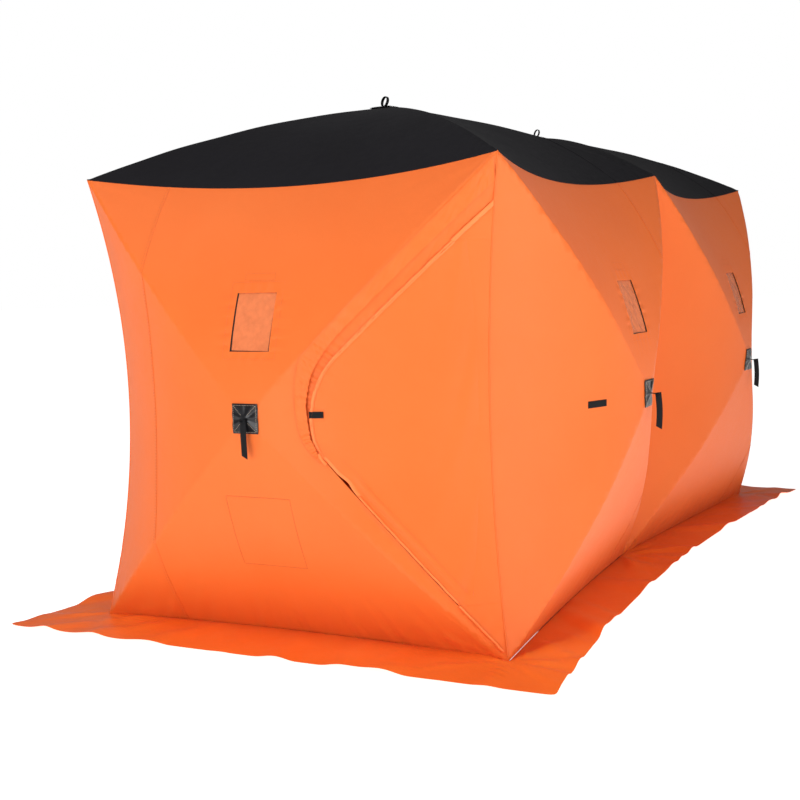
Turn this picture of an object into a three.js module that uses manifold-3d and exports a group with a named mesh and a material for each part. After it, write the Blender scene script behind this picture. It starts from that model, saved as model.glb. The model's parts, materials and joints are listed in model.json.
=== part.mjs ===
// A two-cell pop-up ice fishing shelter. Every wall cell and roof cell is one square of cloth
// held out by a hub with four sprung poles that run to the corners of the cell.
// Millimetres. X is the width, Y the length, Z is up, and the door is in the -Y end wall.
// The origin is on the ground under the middle of the cabin.

import * as THREE from 'three';
import { mergeVertices } from 'three/addons/utils/BufferGeometryUtils.js';
import Module from 'manifold-3d';

const wasm = await Module();
wasm.setup();

// ---------------------------------------------------------------- driving dimensions

// Cloth envelope
const CELL = 1800;                 // side of one square cell
const HALF_WIDTH = CELL / 2;
const HALF_LENGTH = CELL;
const EAVES = 1800;                // height of the upper corners
const FOOT = 2;                    // height of the lower corners
const RIDGE = 2100;                // height of the roof over a roof hub
const WALL_HUB = 880;              // height of the wall hubs
const END_BULGE = 270;             // how far an end wall stands out at its hub
const SIDE_BULGE = 260;            // the same for a side wall
const MID_TOP_OUT = 25;            // the middle upper corners stand out a little
const MID_FOOT_IN = 150;           // the middle lower corners are drawn in
const POLE_BOW = 45;               // outward bow of a pole between hub and corner
const CLOTH = 2;                   // thickness of the modelled cloth
const SEAM_GAP = 5;                // each wall stops this far short of a shared corner seam

// How far tension pulls the middle of each free edge of the cloth
const CORNER_PULL = 88;            // vertical corner seams, inward in X and in Y
const EAVES_PULL = 80;             // eaves, inward
const EAVES_DROP = 70;             // eaves, downward
const END_FOOT_PULL = 70;          // foot of an end wall, inward
const SIDE_FOOT_PULL = 15;         // foot of a side wall, inward
const MID_SEAM_PULL = 100;         // seam between the two cells of a side wall, inward
const ROOF_SEAM_RISE = 30;         // seam between the two roof cells, upward

// Grid on every quarter of a cell
const QUARTER_STEPS = 6;
const RINGS = [0, 0.14, 0.32, 0.54, 0.77];

// Snow skirt
const SKIRT_WIDTH = 286;
const SKIRT_THICKNESS = 3;
const SKIRT_WAIST = 150;           // the long outer edges are drawn in at the middle
const SKIRT_GAP = 3;

// Hubs and poles
const HUB_DEPTH = 30;              // hub centre behind the cloth
const HUB_RADIUS = 30;
const HUB_THICKNESS = 28;
const EAR_LENGTH = 30;
const EAR_HEIGHT = 20;
const EAR_THICKNESS = 4;
const EAR_ROOT = 6;                // how far an ear reaches into the hub disc
const SLOT = 14;                   // clear width between the two ears of an arm
const PIN_ORBIT = 44;              // pin centre to hub centre
const PIN_RADIUS = 3;
const EYE_RADIUS = 7.5;
const EYE_WIDTH = 13;
const EYE_BORE = 3.3;
const POLE_RADIUS = 5.5;
const POLE_START = 4.6;            // rod end to pin centre, inside the wall of the eye
const POLE_STEPS = 6;
const TIP_SHORT = 45;              // least distance from pole tip to corner as the hub is popped in
const TIP_DEPTH = 13;              // least distance from pole tip to the outside of the cloth

// Windows
const WINDOW = { width: 170, height: 212, z: 1227 };
const PANE_LAP = 16;
const PANE_THICKNESS = 1.2;
const PANE_DEPTH = 3.5;

// Door in the right-hand quarter of the front wall, in wall coordinates (across, up)
const DOOR_HINGE_X = 780;
const DOOR_TOP = [745, 1501];      // the upper edge ends here, level with the top of the hinge line
const DOOR_FOOT = [738, 205];      // the lower edge ends here, level with its foot
const DOOR_UPPER = [345, 1105];    // end of the straight upper edge at the nose
const DOOR_LOWER = [290, 735];     // end of the straight lower edge at the nose
const DOOR_NOSE = [[240, 1000], [222, 830]];
const DOOR_GAP = 4;

// Storm flap over the upper door zip
const FLAP_TOP = [[815, 1573], [846, 1745]];
const FLAP_BEND = [262, 1148];
const FLAP_NOSE = [[160, 1050], [150, 790]];
const FLAP_END = [262, 728];

// Small cloth pieces
const TAB = { x: 268, z: 895, width: 52, height: 26 };
const TIEBACK = { y: -1288, z: 875, width: 100, height: 26 };
const POCKET = { x: 0, z: 440, width: 280, height: 280 };
const HINGE_TAPE_WIDTH = 22;
const WEBBING_THICKNESS = 1.5;
const TAB_LIFT = 2;                // outer face of a sewn tab over the cloth
const FLAP_LIFT = 3;
const POCKET_DEPTH = 3;

// Zip sliders
const SLIDER = { length: 18, width: 10, thickness: 5, depth: 9 };
const SLIDER_TAB = { length: 32, width: 7, thickness: 1.6, sunk: 0.4 };

const UP = new THREE.Vector3(0, 0, 1);
const HALF_TURN = new THREE.Matrix4().makeRotationZ(Math.PI);

// ---------------------------------------------------------------- materials

const COLOURS = {
  orange: { color: 0xf0702f, roughness: 0.75, metalness: 0 },
  black_cloth: { color: 0x26242a, roughness: 0.7, metalness: 0 },
  clear: { color: 0xdfe6ea, roughness: 0.1, metalness: 0 },
  plastic: { color: 0x1c1c1e, roughness: 0.5, metalness: 0 },
  pole: { color: 0x2f3034, roughness: 0.4, metalness: 0 },
  webbing: { color: 0x151516, roughness: 0.9, metalness: 0 },
  zinc: { color: 0x9a9da1, roughness: 0.35, metalness: 0.9 },
};

const shelter = new THREE.Group();
shelter.name = 'ice_fishing_shelter';

function addNode(name, geometry, colour) {
  const mesh = new THREE.Mesh(geometry, new THREE.MeshStandardMaterial(COLOURS[colour]));
  mesh.name = name;
  shelter.add(mesh);
}

// ---------------------------------------------------------------- solid operations

function toSolid(geometry) {
  const bare = geometry.clone();
  bare.deleteAttribute('normal');
  bare.deleteAttribute('uv');
  const welded = mergeVertices(bare, 1e-4);
  return new wasm.Manifold(new wasm.Mesh({
    numProp: 3,
    vertProperties: new Float32Array(welded.attributes.position.array),
    triVerts: new Uint32Array(welded.index.array),
  }));
}

function toGeometry(solid) {
  const mesh = solid.getMesh();
  const geometry = new THREE.BufferGeometry();
  geometry.setAttribute('position', new THREE.BufferAttribute(new Float32Array(mesh.vertProperties), 3));
  geometry.setIndex(new THREE.BufferAttribute(new Uint32Array(mesh.triVerts), 1));
  geometry.computeVertexNormals();
  return geometry;
}

function unite(geometries) {
  const solids = geometries.map(toSolid);
  return toGeometry(solids.reduce((sum, solid) => sum.add(solid)));
}

// A matrix that places local X, Y and Z along the given directions, with its origin at a point.
function placed(x, y, z, origin) {
  return new THREE.Matrix4().makeBasis(x, y, z).setPosition(origin);
}

// ---------------------------------------------------------------- cloth surfaces

// A panel is one square cell: its corners from the upper left clockwise as seen from outside, its
// hub, its outward direction, and the pull on the middle of its upper, right, lower and left edge.
function endPanel() {
  return {
    corners: [
      new THREE.Vector3(-HALF_WIDTH, -HALF_LENGTH, EAVES),
      new THREE.Vector3(HALF_WIDTH, -HALF_LENGTH, EAVES),
      new THREE.Vector3(HALF_WIDTH, -HALF_LENGTH, FOOT),
      new THREE.Vector3(-HALF_WIDTH, -HALF_LENGTH, FOOT),
    ],
    hub: new THREE.Vector3(0, -HALF_LENGTH - END_BULGE, WALL_HUB),
    out: new THREE.Vector3(0, -1, 0),
    across: new THREE.Vector3(1, 0, 0),
    pulls: [
      new THREE.Vector3(0, EAVES_PULL, -EAVES_DROP),
      new THREE.Vector3(-CORNER_PULL, CORNER_PULL, 0),
      new THREE.Vector3(0, END_FOOT_PULL, 0),
      new THREE.Vector3(CORNER_PULL, CORNER_PULL, 0),
    ],
  };
}

function sidePanel(cell) {
  const front = cell === 1;
  const seam = new THREE.Vector3(-MID_SEAM_PULL, 0, 0);
  const middleTop = new THREE.Vector3(HALF_WIDTH + MID_TOP_OUT, 0, EAVES);
  const middleFoot = new THREE.Vector3(HALF_WIDTH - MID_FOOT_IN, 0, FOOT);
  const endY = front ? -HALF_LENGTH : HALF_LENGTH;
  const endTop = new THREE.Vector3(HALF_WIDTH, endY, EAVES);
  const endFoot = new THREE.Vector3(HALF_WIDTH, endY, FOOT);
  const corner = new THREE.Vector3(-CORNER_PULL, front ? CORNER_PULL : -CORNER_PULL, 0);
  return {
    corners: front ? [endTop, middleTop, middleFoot, endFoot] : [middleTop, endTop, endFoot, middleFoot],
    hub: new THREE.Vector3(HALF_WIDTH + SIDE_BULGE, endY / 2, WALL_HUB),
    out: new THREE.Vector3(1, 0, 0),
    across: new THREE.Vector3(0, 1, 0),
    pulls: [
      new THREE.Vector3(-EAVES_PULL, 0, -EAVES_DROP),
      front ? seam : corner,
      new THREE.Vector3(-SIDE_FOOT_PULL, 0, 0),
      front ? corner : seam,
    ],
  };
}

function roofPanel() {
  const middle = HALF_WIDTH + MID_TOP_OUT;
  return {
    corners: [
      new THREE.Vector3(-middle, 0, EAVES),
      new THREE.Vector3(middle, 0, EAVES),
      new THREE.Vector3(HALF_WIDTH, -HALF_LENGTH, EAVES),
      new THREE.Vector3(-HALF_WIDTH, -HALF_LENGTH, EAVES),
    ],
    hub: new THREE.Vector3(0, -HALF_LENGTH / 2, RIDGE),
    out: UP.clone(),
    across: new THREE.Vector3(1, 0, 0),
    pulls: [
      new THREE.Vector3(0, 0, ROOF_SEAM_RISE),
      new THREE.Vector3(-EAVES_PULL, 0, -EAVES_DROP),
      new THREE.Vector3(0, EAVES_PULL, -EAVES_DROP),
      new THREE.Vector3(EAVES_PULL, 0, -EAVES_DROP),
    ],
  };
}

// The same panel on the far side of the shelter, half a turn about the vertical.
function turned(panel) {
  const turn = (vector) => vector.clone().applyMatrix4(HALF_TURN);
  return {
    corners: panel.out.z > 0.5
      ? [2, 3, 0, 1].map((index) => turn(panel.corners[index]))
      : panel.corners.map(turn),
    hub: turn(panel.hub),
    out: turn(panel.out),
    across: panel.out.z > 0.5 ? panel.across.clone() : turn(panel.across),
    pulls: panel.out.z > 0.5
      ? [2, 3, 0, 1].map((index) => turn(panel.pulls[index]))
      : panel.pulls.map(turn),
  };
}

// A point on the line that the pole gives the cloth, from a corner (t = 0) to the hub (t = 1).
function ridgePoint(panel, corner, t) {
  return panel.corners[corner % 4].clone()
    .lerp(panel.hub, t)
    .addScaledVector(panel.out, POLE_BOW * 4 * t * (1 - t));
}

// A point of one quarter: u runs along its free edge, t from that edge to the hub.
function clothPoint(panel, quarter, u, t) {
  const sag = 4 * u * (1 - u) * (1 - t) ** 2;
  return ridgePoint(panel, quarter, t)
    .lerp(ridgePoint(panel, quarter + 1, t), u)
    .addScaledVector(panel.pulls[quarter], sag);
}

// An open surface of shared points and triangles, facing along the outward direction.
function panelSurface(panel) {
  const columns = 4 * QUARTER_STEPS;
  const points = [];
  for (const t of RINGS) {
    for (let column = 0; column < columns; column += 1) {
      const quarter = Math.floor(column / QUARTER_STEPS);
      points.push(clothPoint(panel, quarter, (column % QUARTER_STEPS) / QUARTER_STEPS, t));
    }
  }
  const apex = points.push(panel.hub.clone()) - 1;
  const faces = [];
  for (let ring = 0; ring < RINGS.length; ring += 1) {
    for (let column = 0; column < columns; column += 1) {
      const here = ring * columns + column;
      const next = ring * columns + (column + 1) % columns;
      if (ring === RINGS.length - 1) {
        faces.push([here, apex, next]);
      } else {
        faces.push([here, here + columns, next], [next, here + columns, next + columns]);
      }
    }
  }
  return { points, faces };
}

// Surfaces that share an edge joined into one.
function weldSurfaces(surfaces) {
  const points = [];
  const faces = [];
  for (const surface of surfaces) {
    const index = surface.points.map((point) => {
      const known = points.findIndex((other) => other.distanceTo(point) < 0.01);
      return known >= 0 ? known : points.push(point.clone()) - 1;
    });
    faces.push(...surface.faces.map((face) => face.map((corner) => index[corner])));
  }
  return { points, faces };
}

// The directed edges that only one face uses.
function boundaryEdges(surface) {
  const edges = new Map();
  for (const [a, b, c] of surface.faces) {
    for (const [from, to] of [[a, b], [b, c], [c, a]]) {
      edges.set(`${from} ${to}`, [from, to]);
    }
  }
  return [...edges.values()].filter(([from, to]) => !edges.has(`${to} ${from}`));
}

// The surface with its free edge moved back into the cloth.
function pulledBack(surface, distance) {
  const rim = new Set(boundaryEdges(surface).flat());
  const points = surface.points.map((point, index) => {
    if (!rim.has(index)) return point.clone();
    const inner = new Set(surface.faces.filter((face) => face.includes(index)).flat());
    const inside = [...inner].filter((other) => !rim.has(other));
    const aim = new THREE.Vector3();
    inside.forEach((other) => aim.add(surface.points[other]));
    aim.divideScalar(inside.length).sub(point).setLength(distance);
    return point.clone().add(aim);
  });
  return { points, faces: surface.faces };
}

// A closed sheet: its outer face stands `lift` outside the surface, its inner face `thickness` lower.
function thickened(surface, out, lift, thickness) {
  const count = surface.points.length;
  const outer = surface.points.map((point) => point.clone().addScaledVector(out, lift));
  const inner = surface.points.map((point) => point.clone().addScaledVector(out, lift - thickness));
  const index = [];
  for (const [a, b, c] of surface.faces) {
    index.push(a, b, c, a + count, c + count, b + count);
  }
  for (const [from, to] of boundaryEdges(surface)) {
    index.push(to, from, from + count, to, from + count, to + count);
  }
  const geometry = new THREE.BufferGeometry();
  const positions = [...outer, ...inner].flatMap((point) => [point.x, point.y, point.z]);
  geometry.setAttribute('position', new THREE.Float32BufferAttribute(positions, 3));
  geometry.setIndex(index);
  geometry.computeVertexNormals();
  return geometry;
}

// A straight-sided block that cuts through one wall: the outline is in wall coordinates.
function wallCutter(shape, panel) {
  const depth = 1000;
  const geometry = new THREE.ExtrudeGeometry(shape, { depth, bevelEnabled: false, curveSegments: 8 });
  const start = panel.out.clone().multiplyScalar(panel.hub.dot(panel.out) + 100 - depth);
  return geometry.applyMatrix4(placed(panel.across, UP, panel.out, start));
}

function rectangle(centreX, centreY, width, height) {
  const shape = new THREE.Shape();
  shape.moveTo(centreX - width / 2, centreY - height / 2);
  shape.lineTo(centreX + width / 2, centreY - height / 2);
  shape.lineTo(centreX + width / 2, centreY + height / 2);
  shape.lineTo(centreX - width / 2, centreY + height / 2);
  shape.closePath();
  return shape;
}

// The door's outline, drawn in by `inset` on its free edges and by `hingeInset` along its hinge line.
function doorShape(inset, hingeInset = inset) {
  const shape = new THREE.Shape();
  const cornerShift = inset * Math.tan(Math.PI / 8);
  shape.moveTo(DOOR_HINGE_X - hingeInset, DOOR_FOOT[1] + inset);
  shape.lineTo(DOOR_HINGE_X - hingeInset, DOOR_TOP[1] - inset);
  shape.lineTo(DOOR_TOP[0] + cornerShift, DOOR_TOP[1] - inset);
  shape.lineTo(DOOR_UPPER[0] + inset, DOOR_UPPER[1] - inset);
  shape.bezierCurveTo(
    DOOR_NOSE[0][0] + inset, DOOR_NOSE[0][1],
    DOOR_NOSE[1][0] + inset, DOOR_NOSE[1][1],
    DOOR_LOWER[0] + inset, DOOR_LOWER[1] + inset / 2,
  );
  shape.lineTo(DOOR_FOOT[0] + cornerShift, DOOR_FOOT[1] + inset);
  shape.closePath();
  return shape;
}

function flapShape() {
  const shape = new THREE.Shape();
  shape.moveTo(...FLAP_TOP[0]);
  shape.lineTo(...FLAP_TOP[1]);
  shape.lineTo(...FLAP_BEND);
  shape.bezierCurveTo(...FLAP_NOSE[0], ...FLAP_NOSE[1], ...FLAP_END);
  shape.lineTo(DOOR_LOWER[0] - 2, DOOR_LOWER[1]);
  shape.bezierCurveTo(
    DOOR_NOSE[1][0] - 2, DOOR_NOSE[1][1],
    DOOR_NOSE[0][0] - 2, DOOR_NOSE[0][1],
    DOOR_UPPER[0] - 2, DOOR_UPPER[1] + 2,
  );
  shape.closePath();
  return shape;
}

// A sheet that lies on a wall, cut to an outline.
function pieceOnWall(surface, panel, shape, lift, thickness) {
  const sheet = toSolid(thickened(surface, panel.out, lift, thickness));
  return toGeometry(sheet.intersect(toSolid(wallCutter(shape, panel))));
}

// The cloth of a wall with openings cut in it.
function wallWithOpenings(surface, panel, shapes) {
  let cloth = toSolid(thickened(surface, panel.out, 0, CLOTH));
  for (const shape of shapes) {
    cloth = cloth.subtract(toSolid(wallCutter(shape, panel)));
  }
  return toGeometry(cloth);
}

// ---------------------------------------------------------------- hub and poles

// The four directions, in the plane of the cell, from the hub to the corners.
function armDirections(panel) {
  return panel.corners.map((corner) => {
    const arm = corner.clone().sub(panel.hub);
    return arm.addScaledVector(panel.out, -arm.dot(panel.out)).normalize();
  });
}

function hubCentre(panel) {
  return panel.hub.clone().addScaledVector(panel.out, -HUB_DEPTH);
}

function pinCentre(panel, arm) {
  return hubCentre(panel).addScaledVector(arm, PIN_ORBIT);
}

function hubGeometry(panel) {
  const centre = hubCentre(panel);
  const up = new THREE.Vector3().crossVectors(panel.out, panel.across);
  const disc = new THREE.CylinderGeometry(HUB_RADIUS, HUB_RADIUS, HUB_THICKNESS, 16);
  disc.applyMatrix4(placed(panel.across, panel.out, up.clone().negate(), centre));
  const pieces = [disc];
  for (const arm of armDirections(panel)) {
    const side = new THREE.Vector3().crossVectors(panel.out, arm);
    for (const sign of [-1, 1]) {
      const ear = new THREE.BoxGeometry(EAR_LENGTH, EAR_THICKNESS, EAR_HEIGHT);
      const middle = centre.clone()
        .addScaledVector(arm, HUB_RADIUS - EAR_ROOT + EAR_LENGTH / 2)
        .addScaledVector(side, sign * (SLOT + EAR_THICKNESS) / 2);
      pieces.push(ear.applyMatrix4(placed(arm, side, panel.out, middle)));
    }
    const pin = new THREE.CylinderGeometry(PIN_RADIUS, PIN_RADIUS, SLOT + EAR_THICKNESS, 8);
    const pinZ = new THREE.Vector3().crossVectors(arm, side);
    pieces.push(pin.applyMatrix4(placed(arm, side, pinZ, pinCentre(panel, arm))));
  }
  return unite(pieces);
}

// The pole's tip, just inside its corner pocket. A pole reaches furthest when it lies flat, halfway
// through the hub's travel, so the tip stops short of the corner by that overreach, and behind the
// cloth by as much as the cloth falls over that distance.
function tipPoint(panel, corner) {
  const length = panel.corners[corner].distanceTo(panel.hub);
  const rise = panel.hub.clone().sub(panel.corners[corner]).dot(panel.out);
  const flatLength = Math.sqrt(length ** 2 - rise ** 2);
  const overreach = length - flatLength;
  const slope = (rise + 4 * POLE_BOW) / flatLength;
  return ridgePoint(panel, corner, (TIP_SHORT + overreach) / length)
    .addScaledVector(panel.out, -TIP_DEPTH - slope * overreach);
}

function poleGeometry(panel, corner) {
  const arm = armDirections(panel)[corner];
  const side = new THREE.Vector3().crossVectors(panel.out, arm);
  const pin = pinCentre(panel, arm);
  const tip = tipPoint(panel, corner);

  const ring = new THREE.Shape().absarc(0, 0, EYE_RADIUS, 0, 2 * Math.PI);
  ring.holes.push(new THREE.Path().absarc(0, 0, EYE_BORE, 0, 2 * Math.PI, true));
  const eye = new THREE.ExtrudeGeometry(ring, { depth: EYE_WIDTH, bevelEnabled: false, curveSegments: 5 });
  const eyeStart = pin.clone().addScaledVector(side, -EYE_WIDTH / 2);
  eye.applyMatrix4(placed(panel.out, arm, side, eyeStart));

  const share = pin.distanceTo(tip) / panel.corners[corner].distanceTo(panel.hub);
  const bow = pin.clone().lerp(tip, 0.5).addScaledVector(panel.out, 2 * POLE_BOW * share ** 2);
  const outward = bow.clone().sub(pin).normalize();
  const start = pin.clone().addScaledVector(outward, POLE_START);
  const section = new THREE.Shape().absarc(0, 0, POLE_RADIUS, 0, 2 * Math.PI);
  const rod = new THREE.ExtrudeGeometry(section, {
    steps: POLE_STEPS,
    curveSegments: 3,
    extrudePath: new THREE.QuadraticBezierCurve3(start, bow, tip),
  });
  return unite([eye, rod]);
}

// ---------------------------------------------------------------- snow skirt

function outward(value) {
  return Math.abs(value) > SKIRT_GAP ? value + Math.sign(value) * SKIRT_GAP : value;
}

function skirtGeometry(panels) {
  const hole = [];
  for (const panel of panels) {
    for (let step = 0; step < QUARTER_STEPS; step += 1) {
      const point = clothPoint(panel, 2, step / QUARTER_STEPS, 0);
      hole.push(new THREE.Vector2(outward(point.x), outward(point.y)));
    }
  }

  const halfX = HALF_WIDTH + SKIRT_WIDTH;
  const halfY = HALF_LENGTH + SKIRT_WIDTH;
  const waist = halfX - SKIRT_WAIST;
  const shape = new THREE.Shape();
  shape.moveTo(-halfX, -halfY);
  shape.lineTo(halfX, -halfY);
  shape.quadraticCurveTo(waist, -halfY / 2, waist, 0);
  shape.quadraticCurveTo(waist, halfY / 2, halfX, halfY);
  shape.lineTo(-halfX, halfY);
  shape.quadraticCurveTo(-waist, halfY / 2, -waist, 0);
  shape.quadraticCurveTo(-waist, -halfY / 2, -halfX, -halfY);
  shape.holes.push(new THREE.Path(hole));
  return new THREE.ExtrudeGeometry(shape, { depth: SKIRT_THICKNESS, bevelEnabled: false, curveSegments: 5 });
}

// ---------------------------------------------------------------- assembly

const CORNER_NAMES = ['top_left', 'top_right', 'bottom_right', 'bottom_left'];
const ROOF_CORNER_NAMES = ['back_left', 'back_right', 'front_right', 'front_left'];

const right1 = sidePanel(1);
const right2 = sidePanel(2);
const roof1 = roofPanel();
const panels = {
  front: endPanel(),
  back: turned(endPanel()),
  right_1: right1,
  right_2: right2,
  left_1: turned(right2),
  left_2: turned(right1),
  roof_1: roof1,
  roof_2: turned(roof1),
};

function clothSurface(...names) {
  const joined = weldSurfaces(names.map((name) => panelSurface(panels[name])));
  return pulledBack(joined, SEAM_GAP);
}

const frontCloth = clothSurface('front');
const backCloth = clothSurface('back');
const rightCloth = clothSurface('right_1', 'right_2');
const leftCloth = clothSurface('left_1', 'left_2');

// The middle of a window or pane across its wall
function windowMiddle(name) {
  return panels[name].hub.dot(panels[name].across);
}

function windowShape(name, lap) {
  return rectangle(windowMiddle(name), WINDOW.z, WINDOW.width + 2 * lap, WINDOW.height + 2 * lap);
}

const frontOpenings = [windowShape('front', 0), doorShape(0)];
addNode('front_wall', wallWithOpenings(frontCloth, panels.front, frontOpenings), 'orange');
addNode('back_wall', wallWithOpenings(backCloth, panels.back, [windowShape('back', 0)]), 'orange');
addNode('right_wall', wallWithOpenings(
  rightCloth,
  panels.right_1,
  [windowShape('right_1', 0), windowShape('right_2', 0)],
), 'orange');
addNode('left_wall', wallWithOpenings(
  leftCloth,
  panels.left_1,
  [windowShape('left_1', 0), windowShape('left_2', 0)],
), 'orange');
addNode('roof', thickened(clothSurface('roof_1', 'roof_2'), UP, 0, CLOTH), 'black_cloth');
addNode('skirt', skirtGeometry([
  panels.front, panels.left_1, panels.left_2, panels.back, panels.right_2, panels.right_1,
]), 'orange');

const WINDOW_CLOTH = {
  front: frontCloth,
  back: backCloth,
  right_1: rightCloth,
  right_2: rightCloth,
  left_1: leftCloth,
  left_2: leftCloth,
};
for (const [name, cloth] of Object.entries(WINDOW_CLOTH)) {
  const pane = pieceOnWall(cloth, panels[name], windowShape(name, PANE_LAP), -PANE_DEPTH, PANE_THICKNESS);
  addNode(`window_${name}`, pane, 'clear');
}

// Door, the cloth tape it hangs on between its edge and the wall, and what is sewn beside it
const hingeInset = HINGE_TAPE_WIDTH + 2 * DOOR_GAP;
const doorCut = doorShape(DOOR_GAP, hingeInset);
addNode('door_panel', pieceOnWall(frontCloth, panels.front, doorCut, 0, CLOTH), 'orange');
const tapeShape = rectangle(
  DOOR_HINGE_X - hingeInset / 2,
  (DOOR_TOP[1] + DOOR_FOOT[1]) / 2,
  HINGE_TAPE_WIDTH,
  DOOR_TOP[1] - DOOR_FOOT[1] - 2 * DOOR_GAP,
);
addNode('door_hinge_tape', pieceOnWall(frontCloth, panels.front, tapeShape, 0, CLOTH), 'orange');
addNode('storm_flap', pieceOnWall(frontCloth, panels.front, flapShape(), FLAP_LIFT, CLOTH), 'orange');
const tabShape = rectangle(TAB.x + DOOR_GAP, TAB.z, TAB.width, TAB.height);
const tabOnDoor = pieceOnWall(
  frontCloth,
  panels.front,
  doorShape(DOOR_GAP + 2),
  TAB_LIFT,
  WEBBING_THICKNESS,
);
const tab = toSolid(tabOnDoor).intersect(toSolid(wallCutter(tabShape, panels.front)));
addNode('door_tab', toGeometry(tab), 'webbing');
const tiebackShape = rectangle(TIEBACK.y, TIEBACK.z, TIEBACK.width, TIEBACK.height);
const tieback = pieceOnWall(rightCloth, panels.right_1, tiebackShape, TAB_LIFT, WEBBING_THICKNESS);
addNode('tieback_patch', tieback, 'webbing');
const pocketShape = rectangle(POCKET.x, POCKET.z, POCKET.width, POCKET.height);
addNode('inner_pocket', pieceOnWall(frontCloth, panels.front, pocketShape, -POCKET_DEPTH, CLOTH), 'orange');

// The front cloth at wall coordinates (x, z), found by walking over its right-hand quarter.
function frontClothPoint(x, z) {
  let best = clothPoint(panels.front, 1, 0, 0);
  for (let u = 0; u <= 1; u += 0.01) {
    for (let t = 0; t <= 1; t += 0.01) {
      const point = clothPoint(panels.front, 1, u, t);
      if (Math.hypot(point.x - x, point.z - z) < Math.hypot(best.x - x, best.z - z)) best = point;
    }
  }
  return best;
}

// A slider behind the door's edge, with its pull tab pointing into the door.
function sliderGeometry(from, to) {
  const along = to.clone().sub(from).normalize();
  const into = new THREE.Vector3(0, 1, 0);
  const beside = new THREE.Vector3().crossVectors(into, along).normalize();
  const normal = new THREE.Vector3().crossVectors(along, beside);
  const middle = from.clone().addScaledVector(normal, SLIDER.depth);
  const body = new THREE.BoxGeometry(SLIDER.length, SLIDER.width, SLIDER.thickness);
  body.applyMatrix4(placed(along, beside, normal, middle));
  const tab = new THREE.BoxGeometry(SLIDER_TAB.length, SLIDER_TAB.width, SLIDER_TAB.thickness);
  const tabMiddle = middle.clone()
    .addScaledVector(along, -SLIDER_TAB.length / 2)
    .addScaledVector(normal, SLIDER.thickness / 2 + SLIDER_TAB.thickness / 2 - SLIDER_TAB.sunk);
  tab.applyMatrix4(placed(along, beside, normal, tabMiddle));
  return unite([body, tab]);
}

const upperStart = frontClothPoint(...DOOR_UPPER);
const upperEnd = frontClothPoint(...DOOR_TOP);
const lowerStart = frontClothPoint(...DOOR_LOWER);
const lowerEnd = frontClothPoint(...DOOR_FOOT);
addNode('zip_slider_upper', sliderGeometry(upperStart, upperEnd), 'zinc');
addNode('zip_slider_lower', sliderGeometry(lowerStart, lowerEnd), 'zinc');

for (const [name, panel] of Object.entries(panels)) {
  addNode(`hub_${name}`, hubGeometry(panel), 'plastic');
  const names = panel.out.z > 0.5 ? ROOF_CORNER_NAMES : CORNER_NAMES;
  names.forEach((corner, index) => {
    addNode(`pole_${name}_${corner}`, poleGeometry(panel, index), 'pole');
  });
}

export default shelter;
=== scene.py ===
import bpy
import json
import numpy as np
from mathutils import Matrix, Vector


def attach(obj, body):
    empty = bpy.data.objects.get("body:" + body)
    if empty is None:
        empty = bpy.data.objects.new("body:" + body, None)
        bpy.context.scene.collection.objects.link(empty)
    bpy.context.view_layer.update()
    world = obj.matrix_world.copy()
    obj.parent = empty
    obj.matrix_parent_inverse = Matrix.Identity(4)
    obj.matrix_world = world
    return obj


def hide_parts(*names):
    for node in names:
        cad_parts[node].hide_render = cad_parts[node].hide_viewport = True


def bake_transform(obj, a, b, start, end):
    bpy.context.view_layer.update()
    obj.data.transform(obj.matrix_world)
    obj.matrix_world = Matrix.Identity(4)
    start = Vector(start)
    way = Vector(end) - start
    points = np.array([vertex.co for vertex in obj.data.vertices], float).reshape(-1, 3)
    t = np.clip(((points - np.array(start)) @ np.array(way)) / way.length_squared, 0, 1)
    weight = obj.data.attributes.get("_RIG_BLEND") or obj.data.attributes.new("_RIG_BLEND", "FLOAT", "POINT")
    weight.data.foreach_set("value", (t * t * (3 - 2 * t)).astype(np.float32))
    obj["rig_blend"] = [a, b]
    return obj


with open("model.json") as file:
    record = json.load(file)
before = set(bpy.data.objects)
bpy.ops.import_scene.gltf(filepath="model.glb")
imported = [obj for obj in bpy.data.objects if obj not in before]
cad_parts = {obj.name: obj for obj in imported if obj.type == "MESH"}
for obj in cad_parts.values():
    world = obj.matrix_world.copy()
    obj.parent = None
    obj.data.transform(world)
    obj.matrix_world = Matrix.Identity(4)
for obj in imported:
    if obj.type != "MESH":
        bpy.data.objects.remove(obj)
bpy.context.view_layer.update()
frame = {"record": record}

import json
import math

import bpy
import numpy as np
from mathutils import Matrix, Vector
from mathutils.geometry import delaunay_2d_cdt

# ------------------------------------------------------------------ driving dimensions, in metres

# Cloth envelope, as in the CAD part
HALF_WIDTH = 0.9
HALF_LENGTH = 1.8
EAVES = 1.8
FOOT = 0.002
RIDGE = 2.1
WALL_HUB = 0.88
END_BULGE = 0.27
SIDE_BULGE = 0.26
MID_TOP_OUT = 0.025
MID_FOOT_IN = 0.15
POLE_BOW = 0.045
CORNER_PULL = 0.088
EAVES_PULL = 0.08
EAVES_DROP = 0.07
END_FOOT_PULL = 0.07
SIDE_FOOT_PULL = 0.015
MID_SEAM_PULL = 0.1
ROOF_SEAM_RISE = 0.03
SKIRT_WIDTH = 0.286
SKIRT_WAIST = 0.15
SKIRT_ROWS = 16               # rows of points from the walls to the skirt's outer edge
SKIRT_STEPS = (1.8 / 72, 3.64 / 144)  # spacing of points along the skirt, at an end and at a side
RUFFLE = 0.0062               # height of the skirt's waves
RAY = 0.0105                  # height of the folds that run out from its feet
STILL_RIM = 0.057             # share of a cell, from its edge in, that stays put as its hub pops in

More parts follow.
